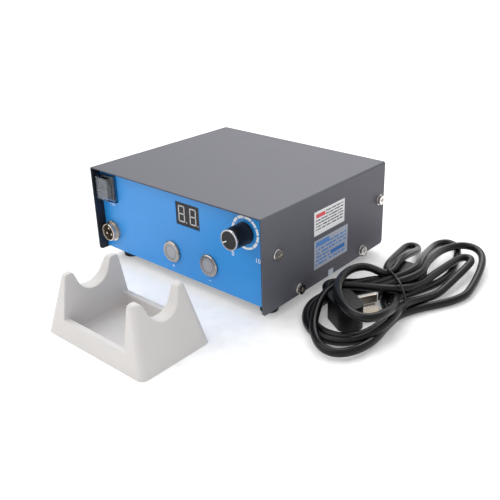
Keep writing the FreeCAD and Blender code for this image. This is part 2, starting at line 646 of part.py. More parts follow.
def make_boot():
    """Clear splash boot over the power switch: a flange and a hollow tapered dome."""
    body = new_body("boot_body")

    def frame(name, y, shrink, wide, high):
        sketch = sketch_on(body, "xz", name, y=y)
        centred(sketch, "switch_x", "switch_z", f"{wide} - 2 * ({shrink})",
                f"{high} - 2 * ({shrink})")
        return sketch

    base = frame("boot_base", "face_y", "0", "boot_wide", "boot_high")
    pad(body, "boot_flange_block", base, "boot_flange")
    around = ((0, 0, 1), 180)
    taper(body, "Additive", "boot_dome", ("switch_x", "face_y - boot_flange", "switch_z"), around,
          ("boot_wide", "boot_high"), ("boot_front_wide", "boot_front_high"),
          "boot_proud - boot_flange")
    out = mm("face_y") - mm("boot_flange")
    half = mm("boot_front_wide") / 2
    round_edges(body, "boot_dome_edges", "boot_wall",
                lambda edge: edge.BoundBox.YMin < out - 1 and edge.BoundBox.YLength > 1)
    front = mm("face_y") - mm("boot_proud")
    round_edges(body, "boot_front_edges", "boot_wall",
                lambda edge: near(edge.BoundBox.YMax, front) and edge.BoundBox.XMax
                <= mm("switch_x") + half + 0.01)
    inner = frame("boot_inner_base", "face_y", "boot_wall", "boot_wide", "boot_high")
    pocket(body, "boot_flange_room", inner, "boot_flange", Reversed=True)
    taper(body, "Subtractive", "boot_room", ("switch_x", "face_y - boot_flange", "switch_z"),
          around, ("boot_wide - 2 * boot_wall", "boot_high - 2 * boot_wall"),
          ("boot_front_wide - 2 * boot_wall", "boot_front_high - 2 * boot_wall"),
          "boot_proud - boot_flange - boot_wall")
    node("switch_boot", body)


def make_socket():
    """Three-contact circular socket for the handpiece."""
    shell, _ = turned("socket_shell_body", "y", "socket_x", "face_y", "socket_z", [
        ("socket_bore_r", "-socket_proud"), ("socket_r - collar_chamfer", "-socket_proud"),
        ("socket_r", "-socket_proud + collar_chamfer"), ("socket_r", "-socket_flange"),
        ("socket_flange_r", "-socket_flange"), ("socket_flange_r", "0"), ("socket_r", "0"),
        ("socket_r", "socket_deep"), ("socket_bore_r", "socket_deep")])
    key = sketch_on(shell, "xy", "socket_key", x="socket_x", y="face_y", z="socket_z")
    rectangle(key, ("-contact_r", "contact_r"),
              ("-socket_proud - contact_r", "-socket_flange - contact_r"))
    pocket(shell, "socket_keyway", key, "socket_flange_r", Reversed=True)
    node("socket_shell", shell)
    start = "-socket_proud + insert_recess"
    insert, _ = turned("socket_insert_body", "y", "socket_x", "face_y", "socket_z", [
        ("0", start), ("socket_bore_r - thread_fit", start),
        ("socket_bore_r - thread_fit", f"{start} + insert_thick"), ("0", f"{start} + insert_thick")])
    holes = sketch_on(insert, "xz", "insert_holes", x="socket_x", y="face_y - socket_proud",
                      z="socket_z")
    spots = [(f"contact_circle * {math.cos(math.radians(turn)):.6f}",
              f"contact_circle * {math.sin(math.radians(turn)):.6f}") for turn in (90, 210, 330)]
    for x, z in spots:
        circle(holes, x, z, "contact_r")
    pocket(insert, "insert_contact_holes", holes, "2 * insert_recess + insert_thick")
    node("socket_insert", insert)
    pins = [rod(f"socket_contact_{i}", "+y", f"socket_x + {x}",
                "face_y - socket_proud + contact_recess", f"socket_z + {z}", "contact_r",
                "insert_recess - contact_recess + insert_thick + contact_tail")
            for i, (x, z) in enumerate(spots)]
    node("socket_contacts", group("socket_contact_group", pins))
    nut = rod("socket_nut_blank", "+y", "socket_x", "inner_y", "socket_z", "socket_nut_r",
              "socket_nut")
    bore = rod("socket_nut_bore", "+y", "socket_x", "inner_y", "socket_z",
               "socket_r + nut_fit", "socket_nut")
    node("socket_nut", cut("socket_nut_cut", nut, bore))


def make_display():
    """Two-digit display module on a small board behind the front panel."""
    half_x, half_z = "display_wide / 2", "display_high / 2"
    front = "face_y + display_back"
    module = box("display_block", (f"display_x - {half_x}", f"display_x + {half_x}"),
                 (front, "display_rear"), (f"display_z - {half_z}", f"display_z + {half_z}"))
    node("display_module", module)
    board = box("display_board_blank",
                ("display_x - display_board_wide / 2", "display_x + display_board_wide / 2"),
                ("display_rear", "display_rear + board_thick"),
                ("display_z - display_board_high / 2", "display_z + display_board_high / 2"))
    holes = [rod(f"display_board_hole_{side}", "+y", f"display_x + {side} * display_spacer_x",
                 "display_rear", "display_z", "small_r + thread_fit", "board_thick")
             for side in (-1, 1)]
    node("display_board", cut("display_board_cut", board, *holes))


def make_button(name):
    """Metal push button: a bezel with its barrel, and a cap on a stem."""
    x, z = name + "_x", "button_z"
    inner = "cap_r + cap_gap"
    housing, _ = turned(name + "_housing_body", "y", x, "face_y", z, [
        (inner, "-bezel_proud"), ("bezel_r - bezel_round", "-bezel_proud"),
        ("bezel_r", "-bezel_proud + bezel_round"), ("bezel_r", "0"), ("barrel_r", "0"),
        ("barrel_r", "barrel_long"), ("0", "barrel_long"), ("0", "stem_long + button_travel + 1"),
        ("stem_r + stem_fit", "stem_long + button_travel + 1"),
        ("stem_r + stem_fit", "cap_thick + button_travel"), (inner, "cap_thick + button_travel")])
    node(name + "_housing", housing)
    face = "-bezel_proud + cap_sink"
    cap, _ = turned(name + "_cap_body", "y", x, "face_y", z, [
        ("0", face), ("cap_r", face), ("cap_r", f"{face} + cap_thick"),
        ("stem_r", f"{face} + cap_thick"), ("stem_r", "stem_long"), ("0", "stem_long")])
    node(name + "_cap", cap)


def make_button_fixings():
    """The nuts behind the panel and the solder pins of both buttons."""
    nuts = []
    for name in BUTTONS:
        place = (name + "_x", "inner_y", "button_z")
        nut = hexagon(name + "_nut_blank", "+y", *place, "button_nut_r", "button_nut")
        bore = rod(name + "_nut_bore", "+y", *place, "barrel_r + nut_fit", "button_nut")
        nuts.append(cut(name + "_nut", nut, bore))
    node("button_nuts", group("button_nut_group", nuts))
    pins = [rod(f"{name}_terminal_{i}", "+y",
                f"{name}_x + terminal_spread * {math.cos(math.radians(turn)):.6f}",
                "face_y + barrel_long",
                f"button_z + terminal_spread * {math.sin(math.radians(turn)):.6f}",
                "terminal_r", "terminal_long")
            for name in BUTTONS for i, turn in enumerate((0, 90, 180, 270))]
    node("button_terminals", group("button_terminal_group", pins))


def make_control():
    """Potentiometer on the front panel, with a fluted knob pressed on its shaft."""
    x, z = "knob_x", "knob_z"
    bore = "shaft_r + shaft_fit"
    tip = "face_y - inner_y - bushing_out"
    pot, _ = turned("pot_body_turned", "y", x, "inner_y", z, [
        (bore, tip), ("bushing_r", tip), ("bushing_r", "0"),
        ("pot_r", "0"), ("pot_r", "pot_deep"), ("0", "pot_deep"), ("0", "pot_deep - pot_wall"),
        ("pot_r - pot_wall", "pot_deep - pot_wall"), ("pot_r - pot_wall", "pot_wall"),
        (bore, "pot_wall")])
    node("pot_body", pot)
    shaft, _ = turned("pot_shaft_turned", "y", x, "inner_y", z, [
        ("0", "face_y - inner_y - knob_lift - knob_bore_deep"),
        ("shaft_r", "face_y - inner_y - knob_lift - knob_bore_deep"),
        ("shaft_r", "pot_wall + wiper_gap"), ("wiper_r", "pot_wall + wiper_gap"),
        ("wiper_r", "pot_wall + wiper_gap + wiper_thick"),
        ("0", "pot_wall + wiper_gap + wiper_thick")])
    node("pot_shaft", shaft)
    nut = hexagon("pot_nut_blank", "-y", x, "face_y", z, "pot_nut_r", "pot_nut")
    hole = rod("pot_nut_bore", "-y", x, "face_y", z, "bushing_r + nut_fit", "pot_nut")
    node("pot_nut", cut("pot_nut_cut", nut, hole))
    front = "-knob_lift - knob_long"
    rim_in = "knob_front_r - rim_wide"
    knob, _ = turned("knob_body", "y", x, "face_y", z, [
        ("0", f"{front} + knob_face_sink"), (rim_in, f"{front} + knob_face_sink"),
        (rim_in, f"{front} + rim_thick"), ("knob_front_r", f"{front} + rim_thick"),
        ("knob_r", "-knob_lift"), ("knob_recess_r", "-knob_lift"),
        ("knob_recess_r", "-knob_lift - knob_recess"),
        ("shaft_r + nut_fit", "-knob_lift - knob_recess"),
        ("shaft_r + nut_fit", "-knob_lift - knob_bore_deep"), ("0", "-knob_lift - knob_bore_deep")])
    flute = sketch_on(knob, "xz", "knob_flute", x=x, y="face_y - knob_lift", z=z)
    circle(flute, "0", "knob_r", "flute_r")
    groove = pocket(knob, "knob_flute_cut", flute, "knob_long - rim_thick - flute_start",
                    Reversed=True)
    ring = knob.newObject("PartDesign::PolarPattern", "knob_flutes_cut")
    ring.Originals = [groove]
    ring.Axis = (flute, ["N_Axis"])
    ring.Angle = 360.0
    bind(ring, Occurrences="knob_flutes")
    knob.Tip = ring
    node("knob", knob)
    rim, _ = turned("knob_rim_body", "y", x, "face_y", z, [
        (rim_in, front), ("knob_front_r", front), ("knob_front_r", f"{front} + rim_thick"),
        (rim_in, f"{front} + rim_thick")])
    node("knob_rim", rim)


# ---- inside the case ----------------------------------------------------------------------------


def strap_screw_x(sign):
    return f"trafo_x {sign} (trafo_wide / 2 + strap_thick + strap_ear / 2)"


def make_main_board():
    """Driver board on four standoffs, and all the small screws inside the case."""
    ends_x = ("board_left", "board_left + board_long")
    ends_y = ("board_front", "board_front + board_deep")
    blank = box("main_board_blank", ends_x, ends_y, ("board_z", "board_top"))
    spots = [(f"{ends_x[i]} {sx} board_hole_in", f"{ends_y[j]} {sy} board_hole_in")
             for i, sx in ((0, "+"), (1, "-")) for j, sy in ((0, "+"), (1, "-"))]
    holes, posts, screws = [], [], []
    for i, (x, y) in enumerate(spots):
        holes.append(rod(f"board_hole_{i}", "+z", x, y, "board_z", "small_r + thread_fit",
                         "board_thick"))
        post = rod(f"standoff_{i}_blank", "+z", x, y, "deck_z", "standoff_r", "standoff_high")
        bore = rod(f"standoff_{i}_bore", "+z", x, y, "deck_z", "small_r + thread_fit",
                   "standoff_high")
        posts.append(cut(f"standoff_{i}", post, bore))
        screws.append(m3_screw(f"board_screw_{i}", "+z", x, y, "board_top"))
    for side in (-1, 1):
        x = f"display_x + {side} * display_spacer_x"
        post = rod(f"display_spacer_{side}_blank", "+y", x, "inner_y", "display_z", "spacer_r",
                   "display_rear - inner_y")
        bore = rod(f"display_spacer_{side}_bore", "+y", x, "inner_y", "display_z",
                   "small_r + thread_fit", "display_rear - inner_y")
        posts.append(cut(f"display_spacer_{side}", post, bore))
        screws.append(m3_screw(f"display_screw_{side}", "+y", x, "display_rear + board_thick",
                               "display_z"))
    node("main_board", cut("main_board_cut", blank, *holes))
    node("standoffs", group("standoff_group", posts))
    for sign in ("-", "+"):
        screws.append(m3_screw(f"strap_screw_{sign}", "+z", strap_screw_x(sign), "trafo_y",
                               "deck_z + strap_thick", "strap_thick"))
    node("inner_screws", group("inner_screw_group", screws))


def make_heatsink():
    body = new_body("heatsink_body")
    plan = sketch_on(body, "xz", "heatsink_section", y="sink_y + sink_long / 2")
    rectangle(plan, ("sink_x - sink_wide / 2", "sink_x + sink_wide / 2"),
              ("board_top", "board_top + sink_high"))
    pad(body, "heatsink_block", plan, "sink_long")
    gap = sketch_on(body, "xz", "fin_gap", y="sink_y + sink_long / 2")
    left = "sink_x - sink_wide / 2 + sink_base"
    rectangle(gap, (left, "sink_x + sink_wide / 2 + 1"),
              ("board_top + fin_thick", "board_top + fin_pitch"))
    slot = pocket(body, "fin_gap_cut", gap, "sink_long", Reversed=True)
    fins = body.newObject("PartDesign::LinearPattern", "fin_gaps_cut")
    fins.Originals = [slot]
    fins.Direction = (gap, ["V_Axis"])
    bind(fins, Length="fin_pitch * (fin_count - 1)", Occurrences="fin_count")
    body.Tip = fins
    node("heatsink", body)


def make_board_parts():
    """Transistors on the heatsink, ferrite core and coil, capacitors, relay and headers."""
    flat_x = "sink_x - sink_wide / 2"
    tabs = [box(f"transistor_{i}", (f"{flat_x} - transistor_thick", flat_x),
                (f"sink_y {step} - transistor_wide / 2", f"sink_y {step} + transistor_wide / 2"),
                ("board_top", "board_top + transistor_high"))
            for i, step in enumerate(("- transistor_wide", "+ transistor_wide"))]
    node("power_transistors", group("transistor_group", tabs))

    core = block("core_block", "core_x", "core_y", "board_top", "core_wide", "core_deep / 2",
                 "core_high")
    windows = []
    for side in ("-", "+"):
        edge = f"core_x {side} (core_wide / 2 - core_leg)"
        inner = f"core_x {side} core_leg / 2"
        low, high = (edge, inner) if side == "-" else (inner, edge)
        windows.append(box(f"core_window_{side}", (low, high),
                           ("core_y - core_deep", "core_y + core_deep"),
                           ("board_top + core_leg", "board_top + core_high - core_leg")))
    node("output_core", cut("output_core_cut", core, *windows))
    reach = "core_wide / 2 - core_leg - coil_fit"
    coil = block("coil_block", "core_x", "core_y", "board_top + core_leg + coil_fit",
                 f"2 * ({reach})", "core_deep", "core_high - 2 * core_leg - 2 * coil_fit")
    limb = block("coil_limb_room", "core_x", "core_y", "board_top", "core_leg + 2 * nut_fit",
                 "core_deep / 2 + 2 * nut_fit", "core_high")
    node("output_coil", cut("output_coil_cut", coil, limb))

    cans = [rod(f"capacitor_{i}", "+z", "can_x", f"can_y - {i} * can_pitch", "board_top",
                "can_r", "can_high") for i in range(2)]
    node("capacitors", group("capacitor_group", cans))
    node("relay", block("relay_block", "can_x + can_pitch + relay_wide / 2", "can_y",
                        "board_top", "relay_wide", "relay_deep", "relay_high"))
    headers = [block(f"header_{i}", f"board_left + board_hole_in * 2 + header_wide + "
                     f"{i} * header_pitch", "board_front + header_deep", "board_top",
                     "header_wide", "header_deep", "header_high") for i in range(3)]
    node("board_headers", group("header_group", headers))


def make_mains_transformer():
    """Laminated core with a winding, held to the floor by a strap."""
    core = block("trafo_block", "trafo_x", "trafo_y", "deck_z", "trafo_wide", "trafo_deep",
                 "trafo_high")
    windows = []
    for side in ("-", "+"):
        edge = f"trafo_x {side} (trafo_wide / 2 - trafo_leg)"
        inner = f"trafo_x {side} trafo_leg"
        low, high = (edge, inner) if side == "-" else (inner, edge)
        windows.append(box(f"trafo_window_{side}", (low, high),
                           ("trafo_y - trafo_deep", "trafo_y + trafo_deep"),
                           ("deck_z + trafo_leg", "deck_z + trafo_high - trafo_leg")))
    node("transformer_core", cut("transformer_core_cut", core, *windows))
    reach = "trafo_wide / 2 - trafo_leg - coil_fit"
    coil = block("winding_block", "trafo_x", "trafo_y", "deck_z + trafo_leg + coil_fit",
                 f"2 * ({reach})", "trafo_deep + 2 * coil_out",
                 "trafo_high - 2 * trafo_leg - 2 * coil_fit")
    limb = block("winding_limb_room", "trafo_x", "trafo_y", "deck_z", "2 * trafo_leg",
                 "trafo_deep", "trafo_high")
    node("transformer_winding", cut("transformer_winding_cut", coil, limb))
    outer = "trafo_wide + 2 * strap_thick"
    hoop = block("strap_hoop", "trafo_x", "trafo_y", "deck_z", outer, "trafo_leg",
                 "trafo_high + strap_thick")
    feet = block("strap_feet", "trafo_x", "trafo_y", "deck_z", f"{outer} + 2 * strap_ear",
                 "trafo_leg", "strap_thick")
    room = block("strap_room", "trafo_x", "trafo_y", "deck_z - 1", "trafo_wide",
                 "trafo_leg + 2", "trafo_high + 1")
    holes = [rod(f"strap_hole_{sign}", "+z", strap_screw_x(sign), "trafo_y", "deck_z",
                 "small_r + thread_fit", "strap_thick") for sign in ("-", "+")]
    node("transformer_strap", cut("transformer_strap_cut", join("strap_blank", hoop, feet),
                                  room, *holes))


# ---- rear panel parts ---------------------------------------------------------------------------


def make_inlet():
    """Mains inlet with a fuse drawer under its socket."""
    half_x, half_z = "inlet_body_wide / 2", "inlet_body_high / 2"
    body = new_body("inlet_body")
    lip = sketch_on(body, "xz", "inlet_lip_outline", y="back_y")
    centred(lip, "inlet_x", "inlet_z", "inlet_wide", "inlet_high")
    pad(body, "inlet_lip_pad", lip, "inlet_lip", Reversed=True)
    round_edges(body, "inlet_lip_corners", "inlet_round", lambda edge: along(edge, (0, 1, 0)))
    shell = sketch_on(body, "xz", "inlet_shell_outline", y="back_y")
    rectangle(shell, (f"inlet_x - {half_x}", f"inlet_x + {half_x}"),
              (f"inlet_z - {half_z}", f"inlet_z + {half_z}"))
    pad(body, "inlet_shell_pad", shell, "inlet_body_deep")
    mouth = sketch_on(body, "xz", "inlet_mouth", y="back_y + inlet_lip")
    centred(mouth, "inlet_x", "inlet_z + socket_rise", "socket_wide", "socket_high")
    pocket(body, "inlet_socket", mouth, "socket_depth", Reversed=True)
    slot = sketch_on(body, "xz", "drawer_slot_outline", y="back_y + inlet_lip")
    centred(slot, "inlet_x", "inlet_z - drawer_drop", "drawer_wide + 2 * drawer_gap",
            "drawer_high + 2 * drawer_gap")
    pocket(body, "drawer_slot", slot, "drawer_deep + 1", Reversed=True)
    holes = sketch_on(body, "xz", "inlet_screw_holes", y="back_y + inlet_lip")
    for side in ("-", "+"):
        circle(holes, f"inlet_x {side} inlet_screw_half", "inlet_z", "small_r + thread_fit")
    pocket(body, "inlet_holes", holes, "inlet_lip", Reversed=True)
    root = "back_y + inlet_lip - socket_depth"
    blades = sketch_on(body, "xz", "inlet_blade_slots", y=root)
    for x, z in BLADES:
        centred(blades, x, z, "blade_wide", "blade_high")
    pocket(body, "inlet_blade_holes", blades, "inlet_body_deep", Reversed=True)
    node("inlet_housing", body)
    pins = [box(f"inlet_blade_{i}", (f"{x} - blade_wide / 2", f"{x} + blade_wide / 2"),
                ("back_y - inlet_body_deep - blade_tail", f"{root} + blade_long"),
                (f"{z} - blade_high / 2", f"{z} + blade_high / 2"))
            for i, (x, z) in enumerate(BLADES)]
    node("inlet_blades", group("inlet_blade_group", pins))


BLADES = (("inlet_x - blade_spread", "inlet_z + socket_rise - blade_drop"),
          ("inlet_x + blade_spread", "inlet_z + socket_rise - blade_drop"),
          ("inlet_x", "inlet_z + socket_rise + blade_drop"))


def make_fuse_drawer():
    x, z = "inlet_x", "inlet_z - drawer_drop"
    front = "back_y + inlet_lip"
    tray = box("drawer_tray", (f"{x} - drawer_wide / 2", f"{x} + drawer_wide / 2"),
               (f"{front} - drawer_deep", front),
               (f"{z} - drawer_high / 2", f"{z} + drawer_high / 2"))
    lip = box("drawer_face", (f"{x} - drawer_wide / 2", f"{x} + drawer_wide / 2"),
              (front, f"{front} + drawer_lip"), (f"{z} - drawer_high / 2",
                                                 f"{z} + drawer_high / 2"))
    room = box("drawer_room", (f"{x} - drawer_wide / 2 + drawer_wall",
                               f"{x} + drawer_wide / 2 - drawer_wall"),
               (f"{front} - drawer_deep + drawer_wall", f"{front} - drawer_wall"),
               (f"{z} - drawer_high / 2 + drawer_wall", f"{z} + drawer_high / 2 + 1"))
    node("fuse_drawer", cut("fuse_drawer_cut", join("drawer_blank", tray, lip), room))
    y = f"{front} - drawer_deep / 2"
    rest = f"{z} - drawer_high / 2 + drawer_wall + fuse_r"
    start = f"{x} - fuse_long / 2"
    glass = rod("fuse_glass", "+x", start, y, rest, "fuse_r - fuse_fit", "fuse_long")
    caps = [rod("fuse_cap_left", "+x", start, y, rest, "fuse_r", "fuse_cap"),
            rod("fuse_cap_right", "+x", f"{x} + fuse_long / 2 - fuse_cap", y, rest, "fuse_r",
                "fuse_cap")]
    node("fuse", join("fuse_joined", glass, *caps))


def make_fan():
    """Axial fan on the inside of the rear panel, with its rotor on a steel axle."""
    body = new_body("fan_frame_body")
    back = "rear_inner_y"
    square = sketch_on(body, "xz", "fan_square", y=back)
    centred(square, "fan_x", "fan_z", "fan_wide", "fan_wide")
    pad(body, "fan_block", square, "fan_thick")
    round_edges(body, "fan_corners", "boss_r", lambda edge: along(edge, (0, 1, 0)))
    bore = sketch_on(body, "xz", "fan_bore", y=back)
    circle(bore, "fan_x", "fan_z", "fan_bore_r")
    for side in ("-", "+"):
        for level in ("-", "+"):
            circle(bore, f"fan_x {side} fan_hole_half", f"fan_z {level} fan_hole_half",
                   "small_r + thread_fit")
    pocket(body, "fan_bore_cut", bore, "fan_thick", Reversed=True)
    front = "rear_inner_y - fan_thick"
    hub = sketch_on(body, "xz", "stator_hub", y=f"{front} + stator_thick")
    circle(hub, "fan_x", "fan_z", "hub_r")
    pad(body, "stator_plate", hub, "stator_thick")
    strut = sketch_on(body, "xz", "stator_strut", y=f"{front} + stator_thick")
    rectangle(strut, ("fan_x - strut_wide / 2", "fan_x + strut_wide / 2"),
              ("fan_z", "fan_z + fan_bore_r + fan_gap"))
    arm = pad(body, "strut_pad", strut, "stator_thick")
    arms = body.newObject("PartDesign::PolarPattern", "strut_pads")
    arms.Originals = [arm]
    arms.Axis = (hub_axis(body), ["N_Axis"])
    arms.Angle = 360.0
    arms.Occurrences = 3
    body.Tip = arms
    boss = sketch_on(body, "xz", "bearing_boss", y=f"{front} + stator_thick + boss_long")
    circle(boss, "fan_x", "fan_z", "boss_r")
    pad(body, "bearing_boss_pad", boss, "boss_long")
    eye = sketch_on(body, "xz", "bearing_bore", y=f"{front} + stator_thick + boss_long")
    circle(eye, "fan_x", "fan_z", "axle_r + axle_fit")
    pocket(body, "bearing_bore_cut", eye, "boss_long + stator_thick", Reversed=True)
    node("fan_frame", body)


def hub_axis(body):
    """A sketch whose normal is the fan's axis."""
    axis = sketch_on(body, "xz", "fan_axis", x="fan_x", y="rear_inner_y", z="fan_z")
    circle(axis, "0", "0", "axle_r")
    return axis


def make_fan_rotor():
    body = new_body("fan_rotor_body")
    front = "rear_inner_y - fan_thick + stator_thick + fan_gap"
    hub = sketch_on(body, "xz", "rotor_hub", y=f"{front} + hub_deep")
    circle(hub, "fan_x", "fan_z", "hub_r")
    pad(body, "rotor_cup", hub, "hub_deep")
    room = sketch_on(body, "xz", "rotor_room", y=front)
    circle(room, "fan_x", "fan_z", "hub_r - hub_wall")
    pocket(body, "rotor_hollow", room, "hub_deep - stator_thick")
    axle = sketch_on(body, "xz", "rotor_axle", y=f"{front} + hub_deep - stator_thick / 2")
    circle(axle, "fan_x", "fan_z", "axle_r")
    pad(body, "rotor_axle_pad", axle, "hub_deep + fan_gap")
    rotor = mm("fan_bore_r") - mm("fan_gap")
    blades = []
    root = mm("hub_r") - mm("hub_wall") / 2
    lean = mm("fan_pitch")
    deep = mm("hub_deep")
    for i in range(int(mm("blade_count"))):
        blade = Part.makeBox(rotor - root, mm("fan_blade"), deep + mm("hub_wall") / 2,
                             Vector(root, -mm("fan_blade") / 2, -deep / 2 - mm("hub_wall") / 4))
        blade.rotate(Vector(), Vector(1, 0, 0), lean)
        blade.rotate(Vector(), Vector(0, 0, 1), 360 / mm("blade_count") * i)
        blades.append(blade)
    limit = Part.makeCylinder(rotor, deep, Vector(0, 0, -deep / 2))
    wheel = blades[0].fuse(blades[1:]).common(limit)
    wheel.rotate(Vector(), Vector(1, 0, 0), -90)
    wheel.translate(Vector(mm("fan_x"), mm("rear_inner_y") - mm("fan_thick")
                           + mm("stator_thick") + mm("fan_gap") + deep / 2, mm("fan_z")))
    vanes = doc.addObject("Part::Feature", "fan_blades")
    vanes.Shape = wheel
    node("fan_rotor", join("fan_rotor_joined", body, vanes))


def make_guard():
    """Wire fan guard: three rings over a cross of two wires, with four eyes under the screws."""
    radius = "guard_wire_r"
    wire_y = "back_y + guard_eye / 2"
    ring_y = f"{wire_y} + 2 * guard_wire_r - guard_sink"
    pieces = []
    for i in range(1, 4):
        ring = doc.addObject("Part::Torus", f"guard_ring_{i}")
        bind(ring, Radius1=f"guard_ring_step * {i} - guard_wire_r", Radius2=radius)
        pieces.append(put(ring, "fan_x", ring_y, "fan_z", TURNS["+y"]))
    reach = f"(fan_hole_half * {math.sqrt(2):.6f} - guard_eye_r + guard_wire_r)"
    for i, turn in enumerate((45, 135)):
        wire = doc.addObject("Part::Cylinder", f"guard_wire_{i}")
        bind(wire, Radius=radius, Height=f"2 * {reach}")
        across, up = math.cos(math.radians(turn)), math.sin(math.radians(turn))
        put(wire, f"fan_x - {reach} * {across:.6f}", wire_y,
            f"fan_z - {reach} * {up:.6f}", ((0, 1, 0), 90 - turn))
        pieces.append(wire)
        for side in (-1, 1):
            x = f"fan_x + {side} * fan_hole_half * {math.copysign(1, across):.0f}"
            z = f"fan_z + {side} * fan_hole_half * {math.copysign(1, up):.0f}"
            eye = rod(f"guard_eye_{i}_{side}_blank", "+y", x, "back_y", z, "guard_eye_r",
                      "guard_eye")
            hole = rod(f"guard_eye_{i}_{side}_bore", "+y", x, "back_y", z,
                       "small_r + thread_fit", "guard_eye")
            pieces.append(cut(f"guard_eye_{i}_{side}", eye, hole))
    node("fan_guard", join("fan_guard_joined", *pieces))


def make_rear_screws():
    screws = []
    for side in ("-", "+"):
        screws.append(m3_screw(f"inlet_screw_{side}", "+y", f"inlet_x {side} inlet_screw_half",
                               "back_y + inlet_lip", "inlet_z"))
        for level in ("-", "+"):
            screws.append(m3_screw(f"fan_screw_{side}{level}", "+y",
                                   f"fan_x {side} fan_hole_half", "back_y + guard_eye",
                                   f"fan_z {level} fan_hole_half", "fan_thick"))
    node("rear_screws", group("rear_screw_group", screws))


def make_labels():
    """Blank labels on the right side of the cover."""
    for name in ("upper_label", "lower_label", "seal"):
        high = f"{name}_high / 2"
        long = f"{name}_long / 2"
        y, z = f"cover_front + {name}_y", f"cover_z + {name}_up"
        tag = box(name + "_block", ("side_x", "side_x + label_thick"),
                  (f"{y} - {long}", f"{y} + {long}"), (f"{z} - {high}", f"{z} + {high}"))
        node("seal_sticker" if name == "seal" else name, tag)


# ---- handpiece rest -----------------------------------------------------------------------------


def make_rest():
    """One moulding: a low tray between two leaning end plates with a saddle in each."""
    body = new_body("rest_body")
    x, y = "rest_mid_x", "rest_mid_y"

    taper(body, "Additive", "rest_block", (x, y, "0"), ((1, 0, 0), 90),
          ("rest_long", "rest_deep"), ("rest_long - 2 * end_lean * rest_high",
                                       "rest_deep - 2 * side_lean * rest_high"), "rest_high")
    round_edges(body, "rest_corners", "rest_corner",
                lambda edge: edge.BoundBox.ZLength > mm("rest_high") - 1)
    inner = "rest_long / 2 - end_lean * rest_high - plate_top"
    gap = sketch_on(body, "xz", "rest_gap", y=y)
    rectangle(gap, (f"{x} - ({inner})", f"{x} + {inner}"), ("tray_wall", "2 * rest_high"))
    pocket(body, "rest_middle", gap, "2 * rest_deep", Midplane=True)
    half_deep = "rest_deep / 2 - side_lean * tray_wall - wall_top"
    well = sketch_on(body, "xy", "tray_well", z="tray_wall")
    rectangle(well, (f"{x} - ({inner})", f"{x} + {inner}"), (f"{y} - ({half_deep})",
                                                            f"{y} + {half_deep}"))
    pocket(body, "rest_tray", well, "tray_wall - tray_floor")
    flare = math.radians(mm("saddle_flare"))
    side = f"saddle_r * {math.cos(flare):.6f}"
    low = f"saddle_low + saddle_r * {1 - math.sin(flare):.6f}"
    rise = f"(rest_high + peak_round - ({low})) * {math.tan(flare):.6f}"
    cradle = sketch_on(body, "yz", "saddle_flanks", x=x)
    polygon(cradle, [(f"{y} - {side}", low), (f"{y} + {side}", low),
                     (f"{y} + {side} + {rise}", "rest_high + peak_round"),
                     (f"{y} - {side} - {rise}", "rest_high + peak_round")])
    pocket(body, "saddle_flare_cut", cradle, "2 * rest_long", Midplane=True)
    bowl = sketch_on(body, "yz", "saddle_bowl", x=x)
    circle(bowl, y, "saddle_low + saddle_r", "saddle_r")
    pocket(body, "saddle_bowl_cut", bowl, "2 * rest_long", Midplane=True)
    peak = mm("rest_high")
    round_edges(body, "rest_peaks", "peak_round",
                lambda edge: along(edge, (1, 0, 0)) and near(edge.CenterOfMass.z, peak))
    cores = sketch_on(body, "xy", "rest_cores", z="0")
    outer = "rest_long / 2 - end_lean * core_up - core_gap"
    deep = "rest_deep / 2 - side_lean * core_up - core_gap"
    for sign in ("-", "+"):
        near_x = f"{x} {sign} ({inner} + core_gap)"
        far_x = f"{x} {sign} ({outer})"
        ends = (far_x, near_x) if sign == "-" else (near_x, far_x)
        rectangle(cores, ends, (f"{y} - ({deep})", f"{y} + {deep}"))
    pocket(body, "rest_core_pockets", cores, "core_up", Reversed=True)
    node("handpiece_rest", body)


# ---- mains lead ---------------------------------------------------------------------------------

# The tied hank's outer shape on the table: the way round its two lobes, and the raised middle where
# its strands are drawn together and pass over the plug and the connector. Like the plug, the
# connector and the tie, it is placed from the case's right side.
HANK_OUTLINE = [
    (6, 22), (6, 0), (19, -24), (43, -38), (71, -40), (81, -16), (84, 18), (82, 44),
    (95, 72), (104, 104), (102, 130), (92, 154), (75, 174), (51, 181), (33, 172), (19, 160),
    (17, 134), (25, 104), (35, 78), (23, 64), (10, 48)]
HANK_RAISED = [
    (17, 22), (23, 0), (37, -14), (59, -20), (79, -8), (85, 18), (81, 48), (77, 84),
    (63, 104), (39, 100), (35, 78), (19, 62)]


def slab(outline, height):
    """A solid of the given height over a smooth closed outline."""
    curve = Part.BSplineCurve()
    curve.interpolate([Vector(mm("side_x") + x, y, 0) for x, y in outline], PeriodicFlag=True)
    return Part.Face(Part.Wire([curve.toShape()])).extrude(Vector(0, 0, height))


def standing(shape, x, y, turn):
    """A shape turned about +Z and moved to a place beside the case."""
    moved = shape.copy()
    moved.rotate(Vector(), Vector(0, 0, 1), turn)
    moved.translate(Vector(mm("side_x") + mm(x), mm(y), 0))
    return moved


